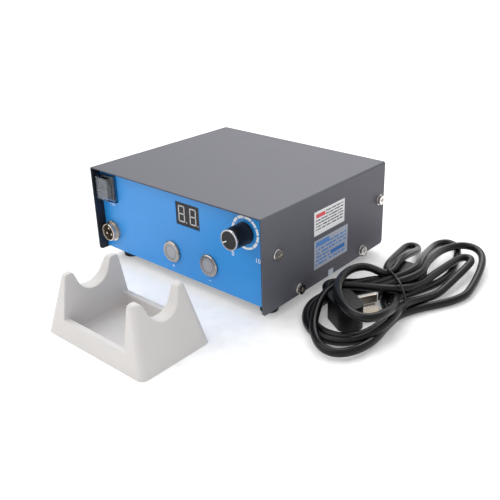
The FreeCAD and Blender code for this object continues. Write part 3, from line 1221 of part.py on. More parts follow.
def plug_parts(grow):
    """The plug's body and neck and its three flat pins, pins along +X, grown all round."""
    across, deep, thick = mm("plug_across"), mm("plug_along"), mm("plug_thick")
    block = Part.makeBox(deep + 2 * grow, across + 2 * grow, thick + grow,
                         Vector(-deep / 2 - grow, -across / 2 - grow, 0))
    upright = [edge for edge in block.Edges if along(edge, (0, 0, 1))]
    body = block.makeFillet(mm("plug_corner"), upright)
    neck = Part.makeCone(mm("plug_neck_r") + grow, mm("plug_neck_end_r") + grow,
                         mm("plug_neck_long") + mm("plug_corner"),
                         Vector(0, across / 2 - mm("plug_corner"), thick / 2), Vector(0, 1, 0))
    pins = []
    for turn in (90, 210, 330):
        wide, thin = mm("pin_wide") + 2 * grow, mm("pin_thick") + 2 * grow
        pin = Part.makeBox(mm("pin_long") + mm("pin_root") + grow, thin, wide,
                           Vector(deep / 2 - mm("pin_root"), -thin / 2, -wide / 2))
        pin.rotate(Vector(), Vector(1, 0, 0), turn - 90)
        step = Vector(0, math.cos(math.radians(turn)), math.sin(math.radians(turn)))
        pin.translate(step * mm("pin_circle"))
        pin.translate(Vector(0, 0, thick / 2))
        pins.append(pin)
    return body.fuse(neck), pins


def connector_part(grow):
    """The appliance connector, its mouth towards +Y, grown all round."""
    wide, thick, deep = mm("head_wide"), mm("head_thick"), mm("head_deep")
    head = Part.makeBox(wide + 2 * grow, deep, thick + grow, Vector(-wide / 2 - grow, -deep, 0))
    neck_wide, neck_thick = mm("neck_wide"), mm("neck_thick")
    low = (thick - neck_thick) / 2

    def ring(half, bottom, top, y):
        corners = [Vector(-half, y, bottom), Vector(half, y, bottom), Vector(half, y, top),
                   Vector(-half, y, top)]
        return Part.makePolygon(corners + corners[:1])

    front = ring(wide / 2 + grow, 0, thick + grow, -deep)
    back = ring(neck_wide / 2 + grow, low - grow, thick - low + grow, -deep - mm("head_taper"))
    waist = Part.makeLoft([front, back], True, True)
    neck = Part.makeBox(neck_wide + 2 * grow, mm("neck_long") + grow, neck_thick + 2 * grow,
                        Vector(-neck_wide / 2 - grow,
                               -deep - mm("head_taper") - mm("neck_long") - grow, low - grow))
    return head.fuse([waist, neck]).removeSplitter()


def feature_of(name, shape):
    item = doc.addObject("Part::Feature", name)
    item.Shape = shape
    return item


def make_lead():
    """Tied hank of mains lead with its plug, appliance connector and tie."""
    body, pins = plug_parts(0)
    plug = standing(body.cut(pins), "plug_x", "plug_y", mm("plug_turn"))
    node("plug_body", feature_of("plug_solid", plug))
    blades = [standing(pin, "plug_x", "plug_y", mm("plug_turn")) for pin in pins]
    node("plug_pins", feature_of("plug_pin_solids", Part.Compound(blades)))
    mouth = Part.makeBox(mm("mouth_wide"), mm("mouth_deep"), mm("mouth_high"),
                         Vector(-mm("mouth_wide") / 2, -mm("mouth_deep"),
                                (mm("head_thick") - mm("mouth_high")) / 2))
    head = connector_part(0).cut(mouth)
    node("lead_connector", feature_of("connector_solid",
                                      standing(head, "head_x", "head_y", mm("head_turn"))))
    gap = mm("part_gap")
    room_body, room_pins = plug_parts(gap)
    rooms = [standing(shape, "plug_x", "plug_y", mm("plug_turn"))
             for shape in [room_body] + room_pins]
    rooms.append(standing(connector_part(gap), "head_x", "head_y", mm("head_turn")))
    ahead = Part.makeBox(mm("mouth_wide"), mm("mouth_clear"), mm("hank_high"),
                         Vector(-mm("mouth_wide") / 2, 0, 0))
    rooms.append(standing(ahead, "head_x", "head_y", mm("head_turn")))
    wide, high = mm("tie_wide"), mm("tie_high")
    wire, band = mm("tie_wire"), mm("tie_band")

    def hoop(grow):
        outer = Part.makeBox(wide + 2 * wire, band + 2 * grow, high + wire,
                             Vector(-wide / 2 - wire, -band / 2 - grow, 0))
        inner = Part.makeBox(wide, 3 * band, high - wire, Vector(-wide / 2, -1.5 * band, wire))
        return outer.cut(inner)

    tie = standing(hoop(0), "tie_x", "tie_y", mm("tie_turn"))
    node("lead_tie", feature_of("tie_solid", tie))
    rooms.append(standing(hoop(gap), "tie_x", "tie_y", mm("tie_turn")))
    hank = slab(HANK_OUTLINE, mm("hank_low")).fuse(slab(HANK_RAISED, mm("hank_high")))
    node("lead_hank", feature_of("hank_solid", hank.cut(rooms)))


# ---- build and write ----------------------------------------------------------------------------

make_chassis()
make_overlay()
make_cover()
make_cover_screws()
make_feet()
make_switch()
make_boot()
make_socket()
make_display()
for button in BUTTONS:
    make_button(button)
make_button_fixings()
make_control()
make_main_board()
make_heatsink()
make_board_parts()
make_mains_transformer()
make_inlet()
make_fuse_drawer()
make_fan()
make_fan_rotor()
make_guard()
make_rear_screws()
make_labels()
make_rest()
make_lead()
doc.recompute()

for item in doc.Objects:
    if "Invalid" in item.State or "Error" in item.State:
        raise RuntimeError(f"{item.Label} failed: {item.State}")
for name, item in NODES.items():
    if item.Shape.isNull() or not item.Shape.isValid():
        raise RuntimeError(f"{name} has no valid shape")
for name, item in NODES.items():
    item.Shape.exportStep(f"parts/{name}.step")
print(len(NODES), "nodes written")
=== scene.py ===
"""The looks of a tabletop ultrasound therapy unit, its handpiece rest and its mains lead.

Lengths are written in millimetres and turned to metres by mm() where an object is made.
X runs to the unit's right, Y away from its front panel and Z up from the table.
"""

import math

import bpy
from mathutils import Matrix, Vector


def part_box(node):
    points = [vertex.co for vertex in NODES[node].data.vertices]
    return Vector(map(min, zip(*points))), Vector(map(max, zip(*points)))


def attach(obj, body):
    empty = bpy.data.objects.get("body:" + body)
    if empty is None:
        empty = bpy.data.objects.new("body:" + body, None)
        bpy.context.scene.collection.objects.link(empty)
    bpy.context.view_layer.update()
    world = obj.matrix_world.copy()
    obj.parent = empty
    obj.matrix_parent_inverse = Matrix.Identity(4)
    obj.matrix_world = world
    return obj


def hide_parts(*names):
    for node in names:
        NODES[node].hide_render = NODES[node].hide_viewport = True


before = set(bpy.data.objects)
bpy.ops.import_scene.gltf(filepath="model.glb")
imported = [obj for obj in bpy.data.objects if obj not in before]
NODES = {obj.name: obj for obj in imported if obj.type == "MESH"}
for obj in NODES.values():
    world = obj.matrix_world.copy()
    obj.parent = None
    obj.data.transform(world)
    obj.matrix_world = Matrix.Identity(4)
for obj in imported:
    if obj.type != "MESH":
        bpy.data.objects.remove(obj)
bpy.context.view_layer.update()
MM = 0.001


def mm(*lengths):
    """Millimetres to metres: one number, or a point."""
    metres = [length * MM for length in lengths]
    return metres[0] if len(metres) == 1 else Vector(metres)


def box_mm(node):
    """A node's lowest and highest corner in millimetres."""
    low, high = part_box(node)
    return low / MM, high / MM


# ---------------------------------------------------------------- camera, floor and lights

EYE = (0.374009, -0.352665, 0.262923)
VIEW_AZIMUTH = 37.618
VIEW_ELEVATION = 22.312
LENS = 48.32
SHIFT = (-0.1015, -0.0717)

FLOOR_SIZE = 12
SURROUND_STRENGTH = 0.74
UNIT_MIDDLE = (0.02, 0.02, 0.03)
# Each soft box: its place and target, the side of its square in metres and its power in
# watts. The far box lights the floor behind the unit.
SOFT_BOXES = {
    "key_box": ((-0.9, -1.0, 1.6), UNIT_MIDDLE, 2.2, 19),
    "top_box": ((0.1, 0.5, 2.1), UNIT_MIDDLE, 1.6, 3),
    "far_box": ((-1.6, 2.6, 2.6), (-1.6, 2.4, 0), 3.0, 95),
}


def make_camera():
    """The camera stands to the right of the unit's front and looks down on it."""
    azimuth, elevation = math.radians(VIEW_AZIMUTH), math.radians(VIEW_ELEVATION)
    ahead = Vector((
        -math.sin(azimuth) * math.cos(elevation),
        math.cos(azimuth) * math.cos(elevation),
        -math.sin(elevation),
    ))
    data = bpy.data.cameras.new("camera")
    data.lens = LENS
    data.shift_x, data.shift_y = SHIFT
    data.clip_start, data.clip_end = 0.01, 20
    camera = bpy.data.objects.new("camera", data)
    camera.location = EYE
    camera.rotation_mode = "QUATERNION"
    camera.rotation_quaternion = ahead.to_track_quat("-Z", "Y")
    bpy.context.scene.collection.objects.link(camera)
    bpy.context.scene.camera = camera


def make_light(name, place, target, size, power):
    """A square soft box that faces its target."""
    data = bpy.data.lights.new(name, "AREA")
    data.size, data.energy = size, power
    light = bpy.data.objects.new(name, data)
    light.location = place
    ahead = Vector(target) - Vector(place)
    light.rotation_euler = ahead.to_track_quat("-Z", "Y").to_euler()
    bpy.context.scene.collection.objects.link(light)


def make_stage():
    """A pale floor, a white surround and the soft boxes."""
    bpy.context.scene.view_settings.view_transform = "Standard"
    bpy.ops.object.select_all(action="DESELECT")
    bpy.ops.mesh.primitive_plane_add(size=FLOOR_SIZE, location=(0, 0, 0))
    floor = bpy.context.object
    floor.name = "studio_floor"
    floor.data.materials.append(studio_paper())
    world = bpy.data.worlds.new("surround")
    bpy.context.scene.world = world
    world.use_nodes = True
    background = world.node_tree.nodes["Background"]
    background.inputs["Color"].default_value = (1, 1, 1, 1)
    background.inputs["Strength"].default_value = SURROUND_STRENGTH
    for name, setting in SOFT_BOXES.items():
        make_light(name, *setting)


# ---------------------------------------------------------------- material helpers

# A wave texture at scale 1 repeats once in this many units.
WAVE_PERIOD = 0.314
# Moves each ruled row along by its own amount, so that the rows break in different places.
ROW_SHIFT = 7.3
# A ruled row is blank where its noise is below this.
ROW_BLANK = 0.42


def linear(code):
    """An sRGB hex colour as linear RGBA."""
    shares = [int(code[i:i + 2], 16) / 255 for i in (1, 3, 5)]
    straight = [
        share / 12.92 if share <= 0.04045 else ((share + 0.055) / 1.055) ** 2.4
        for share in shares
    ]
    return (*straight, 1)


def add(tree, kind, inputs=None, **settings):
    """Adds a node. A socket in inputs is linked, and anything else is set."""
    node = tree.nodes.new(kind)
    for name, value in settings.items():
        setattr(node, name, value)
    for name, value in (inputs or {}).items():
        if isinstance(value, bpy.types.NodeSocket):
            tree.links.new(value, node.inputs[name])
        else:
            node.inputs[name].default_value = value
    return node


def new_material(name, roughness, **sockets):
    """A material with its shader's constant sockets set.

    Returns the material, its tree, its shader and the place on the object.
    """
    material = bpy.data.materials.new(name)
    material.use_nodes = True
    tree = material.node_tree
    shader = tree.nodes["Principled BSDF"]
    shader.inputs["Roughness"].default_value = roughness
    for socket, value in sockets.items():
        shader.inputs[socket.replace("_", " ")].default_value = value
    place = add(tree, "ShaderNodeTexCoord").outputs["Object"]
    return material, tree, shader, place


def mottle(tree, shader, place, colour, dark, light, patch_mm):
    """The base colour drifts between a darker and a lighter share of itself."""
    noise = add(
        tree, "ShaderNodeTexNoise",
        {"Vector": place, "Scale": 1 / mm(patch_mm), "Detail": 4.0},
    )
    ramp = add(tree, "ShaderNodeValToRGB", {"Fac": noise.outputs["Fac"]})
    ramp.color_ramp.elements[0].position = 0.3
    ramp.color_ramp.elements[1].position = 0.7
    base = linear(colour)
    ramp.color_ramp.elements[0].color = (*[c * dark for c in base[:3]], 1)
    ramp.color_ramp.elements[1].color = (*[min(1, c * light) for c in base[:3]], 1)
    tree.links.new(ramp.outputs["Color"], shader.inputs["Base Color"])
    return ramp.outputs["Color"]


def rough_patches(tree, shader, place, low, high, patch_mm):
    """Roughness that wanders between two values, as handling leaves it."""
    noise = add(
        tree, "ShaderNodeTexNoise",
        {"Vector": place, "Scale": 1 / mm(patch_mm), "Detail": 3.0},
    )
    span = add(
        tree, "ShaderNodeMapRange",
        {"Value": noise.outputs["Fac"], "To Min": low, "To Max": high},
    )
    tree.links.new(span.outputs["Result"], shader.inputs["Roughness"])


def grain(tree, shader, place, grain_mm, height_mm, detail=2.0):
    """A fine bump of that grain size and height."""
    noise = add(
        tree, "ShaderNodeTexNoise",
        {"Vector": place, "Scale": 1 / mm(grain_mm), "Detail": detail},
    )
    bump = add(
        tree, "ShaderNodeBump",
        {"Height": noise.outputs["Fac"], "Distance": mm(height_mm)},
    )
    tree.links.new(bump.outputs["Normal"], shader.inputs["Normal"])


def rings(tree, shader, place, pitch_mm, height_mm):
    """Round lines one pitch apart about an axis that runs from front to back."""
    wave = add(
        tree, "ShaderNodeTexWave",
        {"Vector": place, "Scale": WAVE_PERIOD / mm(pitch_mm)}, bands_direction="Y",
    )
    bump = add(
        tree, "ShaderNodeBump",
        {"Height": wave.outputs["Fac"], "Distance": mm(height_mm)},
    )
    tree.links.new(bump.outputs["Normal"], shader.inputs["Normal"])


def moulded(name, colour, roughness, grain_mm, height_mm, **sockets):
    """Moulded plastic or rubber: an even colour with a fine eroded grain.

    The real grain is finer than a tenth of a millimetre, and is drawn coarser to show.
    """
    material, tree, shader, place = new_material(name, roughness, **sockets)
    mottle(tree, shader, place, colour, 0.93, 1.05, 9)
    rough_patches(tree, shader, place, roughness * 0.88, roughness * 1.12, 6)
    grain(tree, shader, place, grain_mm, height_mm)
    return material


def plated(name, colour, roughness, grain_mm, height_mm):
    """Bare or plated metal: a soft reflection broken by small marks."""
    material, tree, shader, place = new_material(name, roughness, Metallic=1.0)
    mottle(tree, shader, place, colour, 0.9, 1.06, 5)
    rough_patches(tree, shader, place, roughness * 0.75, roughness * 1.3, 2.5)
    grain(tree, shader, place, grain_mm, height_mm)
    return material


def banded(name, colour, groove, roughness, pitch_mm, direction, metallic=0.0):
    """Stacked sheets or wound turns: dark lines one pitch apart."""
    material, tree, shader, place = new_material(name, roughness, Metallic=metallic)
    wave = add(
        tree, "ShaderNodeTexWave",
        {"Vector": place, "Scale": WAVE_PERIOD / mm(pitch_mm), "Distortion": 0.4},
        bands_direction=direction,
    )
    ramp = add(tree, "ShaderNodeValToRGB", {"Fac": wave.outputs["Fac"]})
    ramp.color_ramp.elements[0].color = linear(groove)
    ramp.color_ramp.elements[1].position = 0.45
    ramp.color_ramp.elements[1].color = linear(colour)
    bump = add(
        tree, "ShaderNodeBump", {"Height": wave.outputs["Fac"], "Distance": mm(0.15)},
    )
    tree.links.new(ramp.outputs["Color"], shader.inputs["Base Color"])
    tree.links.new(bump.outputs["Normal"], shader.inputs["Normal"])
    return material


def between(tree, value, low, high):
    """1 where a value lies between two lengths in millimetres, and 0 elsewhere."""
    above = add(
        tree, "ShaderNodeMath", {0: value, 1: mm(low)}, operation="GREATER_THAN",
    )
    below = add(
        tree, "ShaderNodeMath", {0: value, 1: mm(high)}, operation="LESS_THAN",
    )
    both = add(
        tree, "ShaderNodeMath", {0: above.outputs[0], 1: below.outputs[0]},
        operation="MULTIPLY",
    )
    return both.outputs[0]


def patch(tree, across, up, left, right, bottom, top):
    """1 inside a rectangle of a label."""
    both = add(
        tree, "ShaderNodeMath",
        {0: between(tree, across, left, right), 1: between(tree, up, bottom, top)},
        operation="MULTIPLY",
    )
    return both.outputs[0]


def inked(tree, colour, mask, ink):
    """The colour, with ink where the mask is 1."""
    mix = add(
        tree, "ShaderNodeMix", {"Factor": mask, "A": colour, "B": linear(ink)},
        data_type="RGBA",
    )
    return mix.outputs["Result"]


def ruled(tree, across, up, edges, pitch_mm, share, dash_mm):
    """Broken ruled lines inside edges: left, right, bottom and top in millimetres.

    A line fills its share of the pitch, and its dashes are about dash_mm long.
    """
    rows = add(tree, "ShaderNodeMath", {0: up, 1: mm(pitch_mm)}, operation="DIVIDE")
    row = add(tree, "ShaderNodeMath", {0: rows.outputs[0]}, operation="FLOOR")
    within = add(tree, "ShaderNodeMath", {0: rows.outputs[0]}, operation="FRACT")
    line = add(
        tree, "ShaderNodeMath", {0: within.outputs[0], 1: share}, operation="LESS_THAN",
    )
    offset = add(
        tree, "ShaderNodeMath", {0: row.outputs[0], 1: ROW_SHIFT}, operation="MULTIPLY",
    )
    along = add(tree, "ShaderNodeMath", {0: across, 1: mm(dash_mm)}, operation="DIVIDE")
    shifted = add(
        tree, "ShaderNodeMath", {0: along.outputs[0], 1: offset.outputs[0]},
        operation="ADD",
    )
    noise = add(
        tree, "ShaderNodeTexNoise", {"W": shifted.outputs[0], "Scale": 1.0},
        noise_dimensions="1D",
    )
    dash = add(
        tree, "ShaderNodeMath", {0: noise.outputs["Fac"], 1: ROW_BLANK},
        operation="GREATER_THAN",
    )
    drawn = add(
        tree, "ShaderNodeMath", {0: line.outputs[0], 1: dash.outputs[0]},
        operation="MULTIPLY",
    )
    inside = add(
        tree, "ShaderNodeMath",
        {0: drawn.outputs[0], 1: patch(tree, across, up, *edges)}, operation="MULTIPLY",
    )
    return inside.outputs[0]


# ---------------------------------------------------------------- finishes

COVER_WALL = 1.2


def studio_paper():
    """Seamless white paper over a light table: flat, with the faintest fibre and glow."""
    return moulded(
        "background_paper", "#F6F6F6", 0.85, 3, 0.02,
        Emission_Color=(1, 1, 1, 1), Emission_Strength=0.2,
    )


def powder_coat():
    """Grey polyester powder coat on folded steel: a satin skin with a fine orange peel.

    Inside the cover the coat is painted near black, as painted shade in the cover's hollow.
    """
    low, high = box_mm("top_cover")
    material, tree, shader, place = new_material("powder_coat_grey", 0.5)
    outside = mottle(tree, shader, place, "#565660", 0.97, 1.03, 20)
    axes = add(tree, "ShaderNodeSeparateXYZ", {"Vector": place}).outputs
    skin = COVER_WALL / 2
    # The inside faces of the cover, where the painted shade goes.
    shade_inside_wide = between(tree, axes["X"], low.x + skin, high.x - skin)
    shade_inside_high = between(tree, axes["Z"], low.z - skin, high.z - skin)
    inner = add(
        tree, "ShaderNodeMath", {0: shade_inside_wide, 1: shade_inside_high}, operation="MULTIPLY",
    )
    # Painted shade: a near-black colour on the cover's inside faces.
    colour = inked(tree, outside, inner.outputs[0], "#1C1E26")
    tree.links.new(colour, shader.inputs["Base Color"])
    rough_patches(tree, shader, place, 0.46, 0.56, 20)
    grain(tree, shader, place, 0.7, 0.04, detail=4.0)
    return material


def polyester_film():
    """Blue screen-printed polyester: a satin film, with slight waves from its glue."""
    material, tree, shader, place = new_material("polyester_film_blue", 0.38)
    mottle(tree, shader, place, "#268CD8", 0.98, 1.02, 40)
    rough_patches(tree, shader, place, 0.34, 0.44, 12)
    grain(tree, shader, place, 6, 0.03, detail=1.0)
    return material


def clear_pvc():
    """Clear flexible PVC of the switch boot: see-through, a little blue, with a soft gloss.

    Its IOR is kept low so that the thin sheet hardly bends what lies behind it.
    """
    material, tree, shader, place = new_material(
        "clear_pvc", 0.02, IOR=1.06, Transmission_Weight=1.0,
        Coat_Weight=1.0, Coat_Roughness=0.05,
    )
    mottle(tree, shader, place, "#EAF2FB", 0.98, 1.02, 6)
    return material


def fuse_glass():
    """Drawn soda-lime glass tube: clear and bright."""
    material, tree, shader, place = new_material(
        "soda_lime_glass", 0.05, IOR=1.52, Transmission_Weight=0.9,
    )
    mottle(tree, shader, place, "#E4ECEA", 0.97, 1.02, 4)
    return material


def solder_mask():
    """Green solder mask over copper: glossy, with raised tracks in a lighter green."""
    material, tree, shader, place = new_material("solder_mask_green", 0.3)
    tracks = add(
        tree, "ShaderNodeTexBrick",
        {"Vector": place, "Scale": 1 / mm(18), "Mortar Size": 0.03,
         "Color1": linear("#0E4A26"), "Color2": linear("#115230"),
         "Mortar": linear("#2B8048")},
    )
    bump = add(
        tree, "ShaderNodeBump", {"Height": tracks.outputs["Fac"], "Distance": mm(0.05)},
    )
    tree.links.new(tracks.outputs["Color"], shader.inputs["Base Color"])
    tree.links.new(bump.outputs["Normal"], shader.inputs["Normal"])
    return material


def turned_aluminium():
    """Bright turned aluminium ring: circular tool lines that stretch its highlight.

    The real lines are finer than a tenth of a millimetre, and are drawn coarser to show.
    """
    material, tree, shader, place = new_material("turned_aluminium", 0.2, Metallic=1.0)
    mottle(tree, shader, place, "#E4E4E6", 0.94, 1.03, 3)
    rings(tree, shader, place, 0.4, 0.02)
    return material


def threaded_nickel():
    """Nickel plate over turned brass: warm and bright, with the lines of a 1 mm thread."""
    material, tree, shader, place = new_material("nickel_plate_collar", 0.2, Metallic=1.0)
    mottle(tree, shader, place, "#CFC4B6", 0.9, 1.06, 5)
    rings(tree, shader, place, 1.0, 0.12)
    return material


def white_label():
    """Matt white paper label with plain broken rules and one red bar."""
    low, high = box_mm("upper_label")
    material, tree, shader, place = new_material("matt_paper_label", 0.6)
    axes = add(tree, "ShaderNodeSeparateXYZ", {"Vector": place}).outputs
    across, up = axes["Y"], axes["Z"]
    edges = (low.y + 2.2, high.y - 2, low.z + 4.2, high.z - 1.6)
    rules = ruled(tree, across, up, edges, pitch_mm=2.5, share=0.42, dash_mm=1.7)
    colour = inked(tree, linear("#ECECEE"), rules, "#3A3A40")
    heading = (low.y + 2, low.y + 15.5, high.z - 7, high.z - 1.2)
    colour = inked(tree, colour, patch(tree, across, up, *heading), "#ECECEE")
    bar = (low.y + 2.4, low.y + 14.5, high.z - 5.6, high.z - 2.4)
    colour = inked(tree, colour, patch(tree, across, up, *bar), "#E05055")
    tree.links.new(colour, shader.inputs["Base Color"])
    grain(tree, shader, place, 0.5, 0.02)
    return material


def foil_label():
    """Satin foil label: silver grey, with plain blue rules and two blue bars."""
    low, high = box_mm("lower_label")
    material, tree, shader, place = new_material("satin_foil_label", 0.42, Metallic=0.25)
    axes = add(tree, "ShaderNodeSeparateXYZ", {"Vector": place}).outputs
    across, up = axes["Y"], axes["Z"]
    edges = (low.y + 2.2, high.y - 2.2, low.z + 1.8, high.z - 3.4)
    rules = ruled(tree, across, up, edges, pitch_mm=3.1, share=0.5, dash_mm=3.4)
    colour = inked(tree, linear("#B7BDCA"), rules, "#4F8FD8")
    heading = (low.y + 2.2, low.y + 20, high.z - 5.6, high.z - 1.6)
    colour = inked(tree, colour, patch(tree, across, up, *heading), "#5D94D6")
    field = (low.y + 21, high.y - 3, low.z + 5.2, low.z + 10.6)
    colour = inked(tree, colour, patch(tree, across, up, *field), "#B7BDCA")
    bar = (low.y + 22, high.y - 4, low.z + 6, low.z + 9.8)
    colour = inked(tree, colour, patch(tree, across, up, *bar), "#2F7CCF")
    tree.links.new(colour, shader.inputs["Base Color"])
    grain(tree, shader, place, 0.6, 0.01)
    return material


def lead_pvc():
    """Black extruded PVC sheath: smooth, with long soft highlights that lie along it."""
    material, tree, shader, place = new_material(
        "extruded_pvc_black", 0.32, Specular_IOR_Level=0.22,
        Coat_Weight=0.12, Coat_Roughness=0.12,
    )
    mottle(tree, shader, place, "#08090C", 0.9, 1.15, 7)
    rough_patches(tree, shader, place, 0.26, 0.4, 9)
    grain(tree, shader, place, 1.6, 0.03)
    return material


def rest_abs():
    """Moulded ABS in warm light grey: matt and even, with a very fine grain."""
    material, tree, shader, place = new_material("abs_light_grey", 0.6)
    mottle(tree, shader, place, "#CFCCCA", 0.985, 1.015, 25)
    rough_patches(tree, shader, place, 0.55, 0.65, 15)
    grain(tree, shader, place, 0.45, 0.015)
    return material


def make_finishes():
    """One material for each finish that NODE_FINISH gives out."""
    return {
        "case_paint": powder_coat(),
        # Zinc plate on folded sheet: pale and slightly cloudy.
        "zinc_steel": plated("zinc_plate", "#A9ABAE", 0.38, 0.8, 0.01),
        "overlay_blue": polyester_film(),
        # Bright nickel plate: warm grey reflections.
        "nickel_screws": plated("nickel_plate_screws", "#E2DFDB", 0.22, 0.8, 0.002),
        # Vulcanised rubber: dull, and dusty at the grain.
        "foot_rubber": moulded("vulcanised_rubber", "#141416", 0.75, 0.5, 0.06),
        # Moulded ABS with a spark-eroded grain.
        "black_abs": moulded("abs_black", "#17181A", 0.42, 0.4, 0.03),
        "clear_pvc": clear_pvc(),
        "nickel_collar": threaded_nickel(),
        # Phenolic insulator: near black and dry.
        "dark_insulator": moulded("phenolic_insulator", "#1B1714", 0.5, 0.4, 0.02),
        # Silver plate over turned brass: pale, warm and bright.
        "brass_contacts": plated("silvered_brass", "#B5AC9C", 0.25, 0.6, 0.003),
        # Tin plate over stamped brass: warm grey, with a soft sheen.
        "tinned_brass": plated("tin_plate", "#C0B6A8", 0.34, 0.8, 0.003),
        # Filled epoxy of the display face: dark grey, smooth and matt.
        "display_epoxy": moulded(
            "filled_epoxy", "#232226", 0.5, 0.8, 0.01, Specular_IOR_Level=0.3,
        ),
        "circuit_board": solder_mask(),
        # Satin nickel plate on a turned bezel: grey, with a clear reflection.
        "button_metal": plated("satin_nickel_bezel", "#ACA59E", 0.14, 0.8, 0.003),
        # Bead-blasted nickel cap: flat grey with no clear reflection.
        "button_cap": moulded(
            "blasted_nickel_cap", "#A6A5AA", 0.5, 0.3, 0.02, Metallic=0.35,
        ),
        # Moulded knob: black, with soft bright lines on its flutes.
        "knob_black": moulded("abs_knob_black", "#121216", 0.34, 0.35, 0.02),
        "knob_rim": turned_aluminium(),
        # Nickel plate on drawn steel: neutral grey, bright but not a mirror.
        "pot_steel": plated("nickel_plated_steel", "#B9B9BA", 0.3, 0.5, 0.01),
        # Extruded aluminium: pale grey, with a satin sheen.
        "sink_aluminium": plated("extruded_aluminium", "#BFC1C3", 0.34, 0.6, 0.02),
        # Sintered ferrite: charcoal, dry and slightly speckled.
        "ferrite": moulded("sintered_ferrite", "#26262A", 0.62, 0.3, 0.05),
        # Enamelled copper wire: red-brown turns with dark gaps.
        "copper_winding": banded(
            "enamelled_copper", "#B4622F", "#5A2A12", 0.3, 0.8, "X", 0.9,
        ),
        # PVC shrink sleeve: dark blue and glossy.
        "can_sleeve": moulded("pvc_shrink_sleeve", "#1C2850", 0.25, 2, 0.02),
        # Moulded polyester relay case: plain blue and satin.
        "relay_blue": moulded("pbt_blue", "#27509A", 0.4, 0.5, 0.02),
        # Nylon: off-white and slightly waxy.
        "header_white": moulded("nylon_white", "#E2DFD3", 0.4, 0.6, 0.02),
        # Varnished steel sheets: grey with dark joints. Real sheets are half as thick.
        "lamination_steel": banded(
            "varnished_laminations", "#5A5A5E", "#232326", 0.4, 1.0, "Y", 0.6,
        ),
        # Polyester tape: yellow film, with the edge of each wrap as a darker line.
        "winding_tape": banded("polyester_tape", "#D8B744", "#A98A2C", 0.35, 6.0, "Y"),
        "fuse_glass": fuse_glass(),
        # Bright drawn wire with a hard clear reflection.
        "guard_wire": plated("chrome_plated_wire", "#C9CACC", 0.14, 0.6, 0.008),
        "label_paper": white_label(),
        "label_silver": foil_label(),
        "rest_plastic": rest_abs(),
        "lead_pvc": lead_pvc(),
        # Moulded PVC of plug and connector: black and less glossy than the sheath.
        "plug_pvc": moulded(
            "moulded_pvc_black", "#090A0D", 0.42, 0.5, 0.02, Specular_IOR_Level=0.25,
        ),
        # PVC-coated tie wire: black with a thin bright line.
        "tie_wire": moulded("pvc_coated_wire", "#0A0B0E", 0.3, 0.6, 0.01),
    }


NODE_FINISH = {
    "case_paint": ["top_cover"],
    "zinc_steel": ["chassis", "transformer_strap"],
    "overlay_blue": ["front_overlay"],
    "nickel_screws": ["cover_screws", "foot_fasteners", "inner_screws", "rear_screws"],
    "foot_rubber": ["foot_front_left", "foot_front_right", "foot_rear_left",
                    "foot_rear_right"],
    "black_abs": ["switch_housing", "power_transistors", "inlet_housing", "fan_frame",
                  "switch_rocker", "fuse_drawer", "fan_rotor"],
    "clear_pvc": ["switch_boot"],
    "nickel_collar": ["socket_shell", "socket_nut", "button_nuts", "pot_nut"],
    "dark_insulator": ["socket_insert"],
    "brass_contacts": ["socket_contacts"],
    "tinned_brass": ["switch_terminals", "button_terminals", "standoffs", "inlet_blades",
                     "plug_pins"],
    "display_epoxy": ["display_module"],
    "circuit_board": ["display_board", "main_board"],
    "button_metal": ["left_button_housing", "right_button_housing"],
    "button_cap": ["left_button_cap", "right_button_cap"],
    "knob_black": ["knob"],
    "knob_rim": ["knob_rim"],
    "pot_steel": ["pot_body", "pot_shaft"],
    "sink_aluminium": ["heatsink"],
    "ferrite": ["output_core"],
    "copper_winding": ["output_coil"],
    "can_sleeve": ["capacitors"],
    "relay_blue": ["relay"],
    "header_white": ["board_headers"],
    "lamination_steel": ["transformer_core"],
    "winding_tape": ["transformer_winding"],
    "fuse_glass": ["fuse"],
    "guard_wire": ["fan_guard"],
    "label_paper": ["upper_label"],
    "label_silver": ["lower_label"],
    "rest_plastic": ["handpiece_rest"],
    "lead_pvc": ["lead_hank"],
    "plug_pvc": ["lead_connector", "plug_body"],
    "tie_wire": ["lead_tie"],
}


def dress(node, material):
    """Gives a carried-over node its one material."""
    NODES[node].data.materials.clear()
    NODES[node].data.materials.append(material)


def dress_nodes(finishes):
    """Gives every carried-over node its finish."""
    for finish, nodes in NODE_FINISH.items():
        for node in nodes:
            dress(node, finishes[finish])
    # The seal is plain silver paper with nothing on it.
    dress("seal_sticker", moulded("seal_paper", "#D5DEEC", 0.5, 0.5, 0.01))


# ---------------------------------------------------------------- modelling helpers


def start(name, primitive, **settings):
    """Adds a primitive with everything else deselected, and names it."""
    bpy.ops.object.select_all(action="DESELECT")
    primitive(**settings)
    piece = bpy.context.object
    piece.name = name
    piece.data.name = name
    return piece


def pick(piece):
    """Selects one object alone and makes it the active one."""
    bpy.ops.object.select_all(action="DESELECT")
    bpy.context.view_layer.objects.active = piece
    piece.select_set(True)


def apply_place(piece):
    """Puts an object's place, turn and size into its mesh."""
    pick(piece)
    bpy.ops.object.transform_apply(location=True, rotation=True, scale=True)


def modify(piece, kind, **settings):
    """Adds a modifier and applies it."""
    pick(piece)
    modifier = piece.modifiers.new(kind.lower(), kind)
    for name, value in settings.items():
        setattr(modifier, name, value)
    bpy.ops.object.modifier_apply(modifier=modifier.name)


def edit(piece):
    """Goes into edit mode on one piece with nothing selected."""
    pick(piece)
    bpy.ops.object.mode_set(mode="EDIT")
    bpy.ops.mesh.select_all(action="DESELECT")


def done():
    """Leaves edit mode."""
    bpy.ops.object.mode_set(mode="OBJECT")


def pick_points(piece, test):
    """Selects the points of the piece in edit mode that pass the test."""
    bpy.ops.mesh.select_mode(type="VERT")
    bpy.ops.mesh.select_all(action="DESELECT")
    bpy.ops.object.mode_set(mode="OBJECT")
    for point in piece.data.vertices:
        point.select = test(point.co)
    bpy.ops.object.mode_set(mode="EDIT")


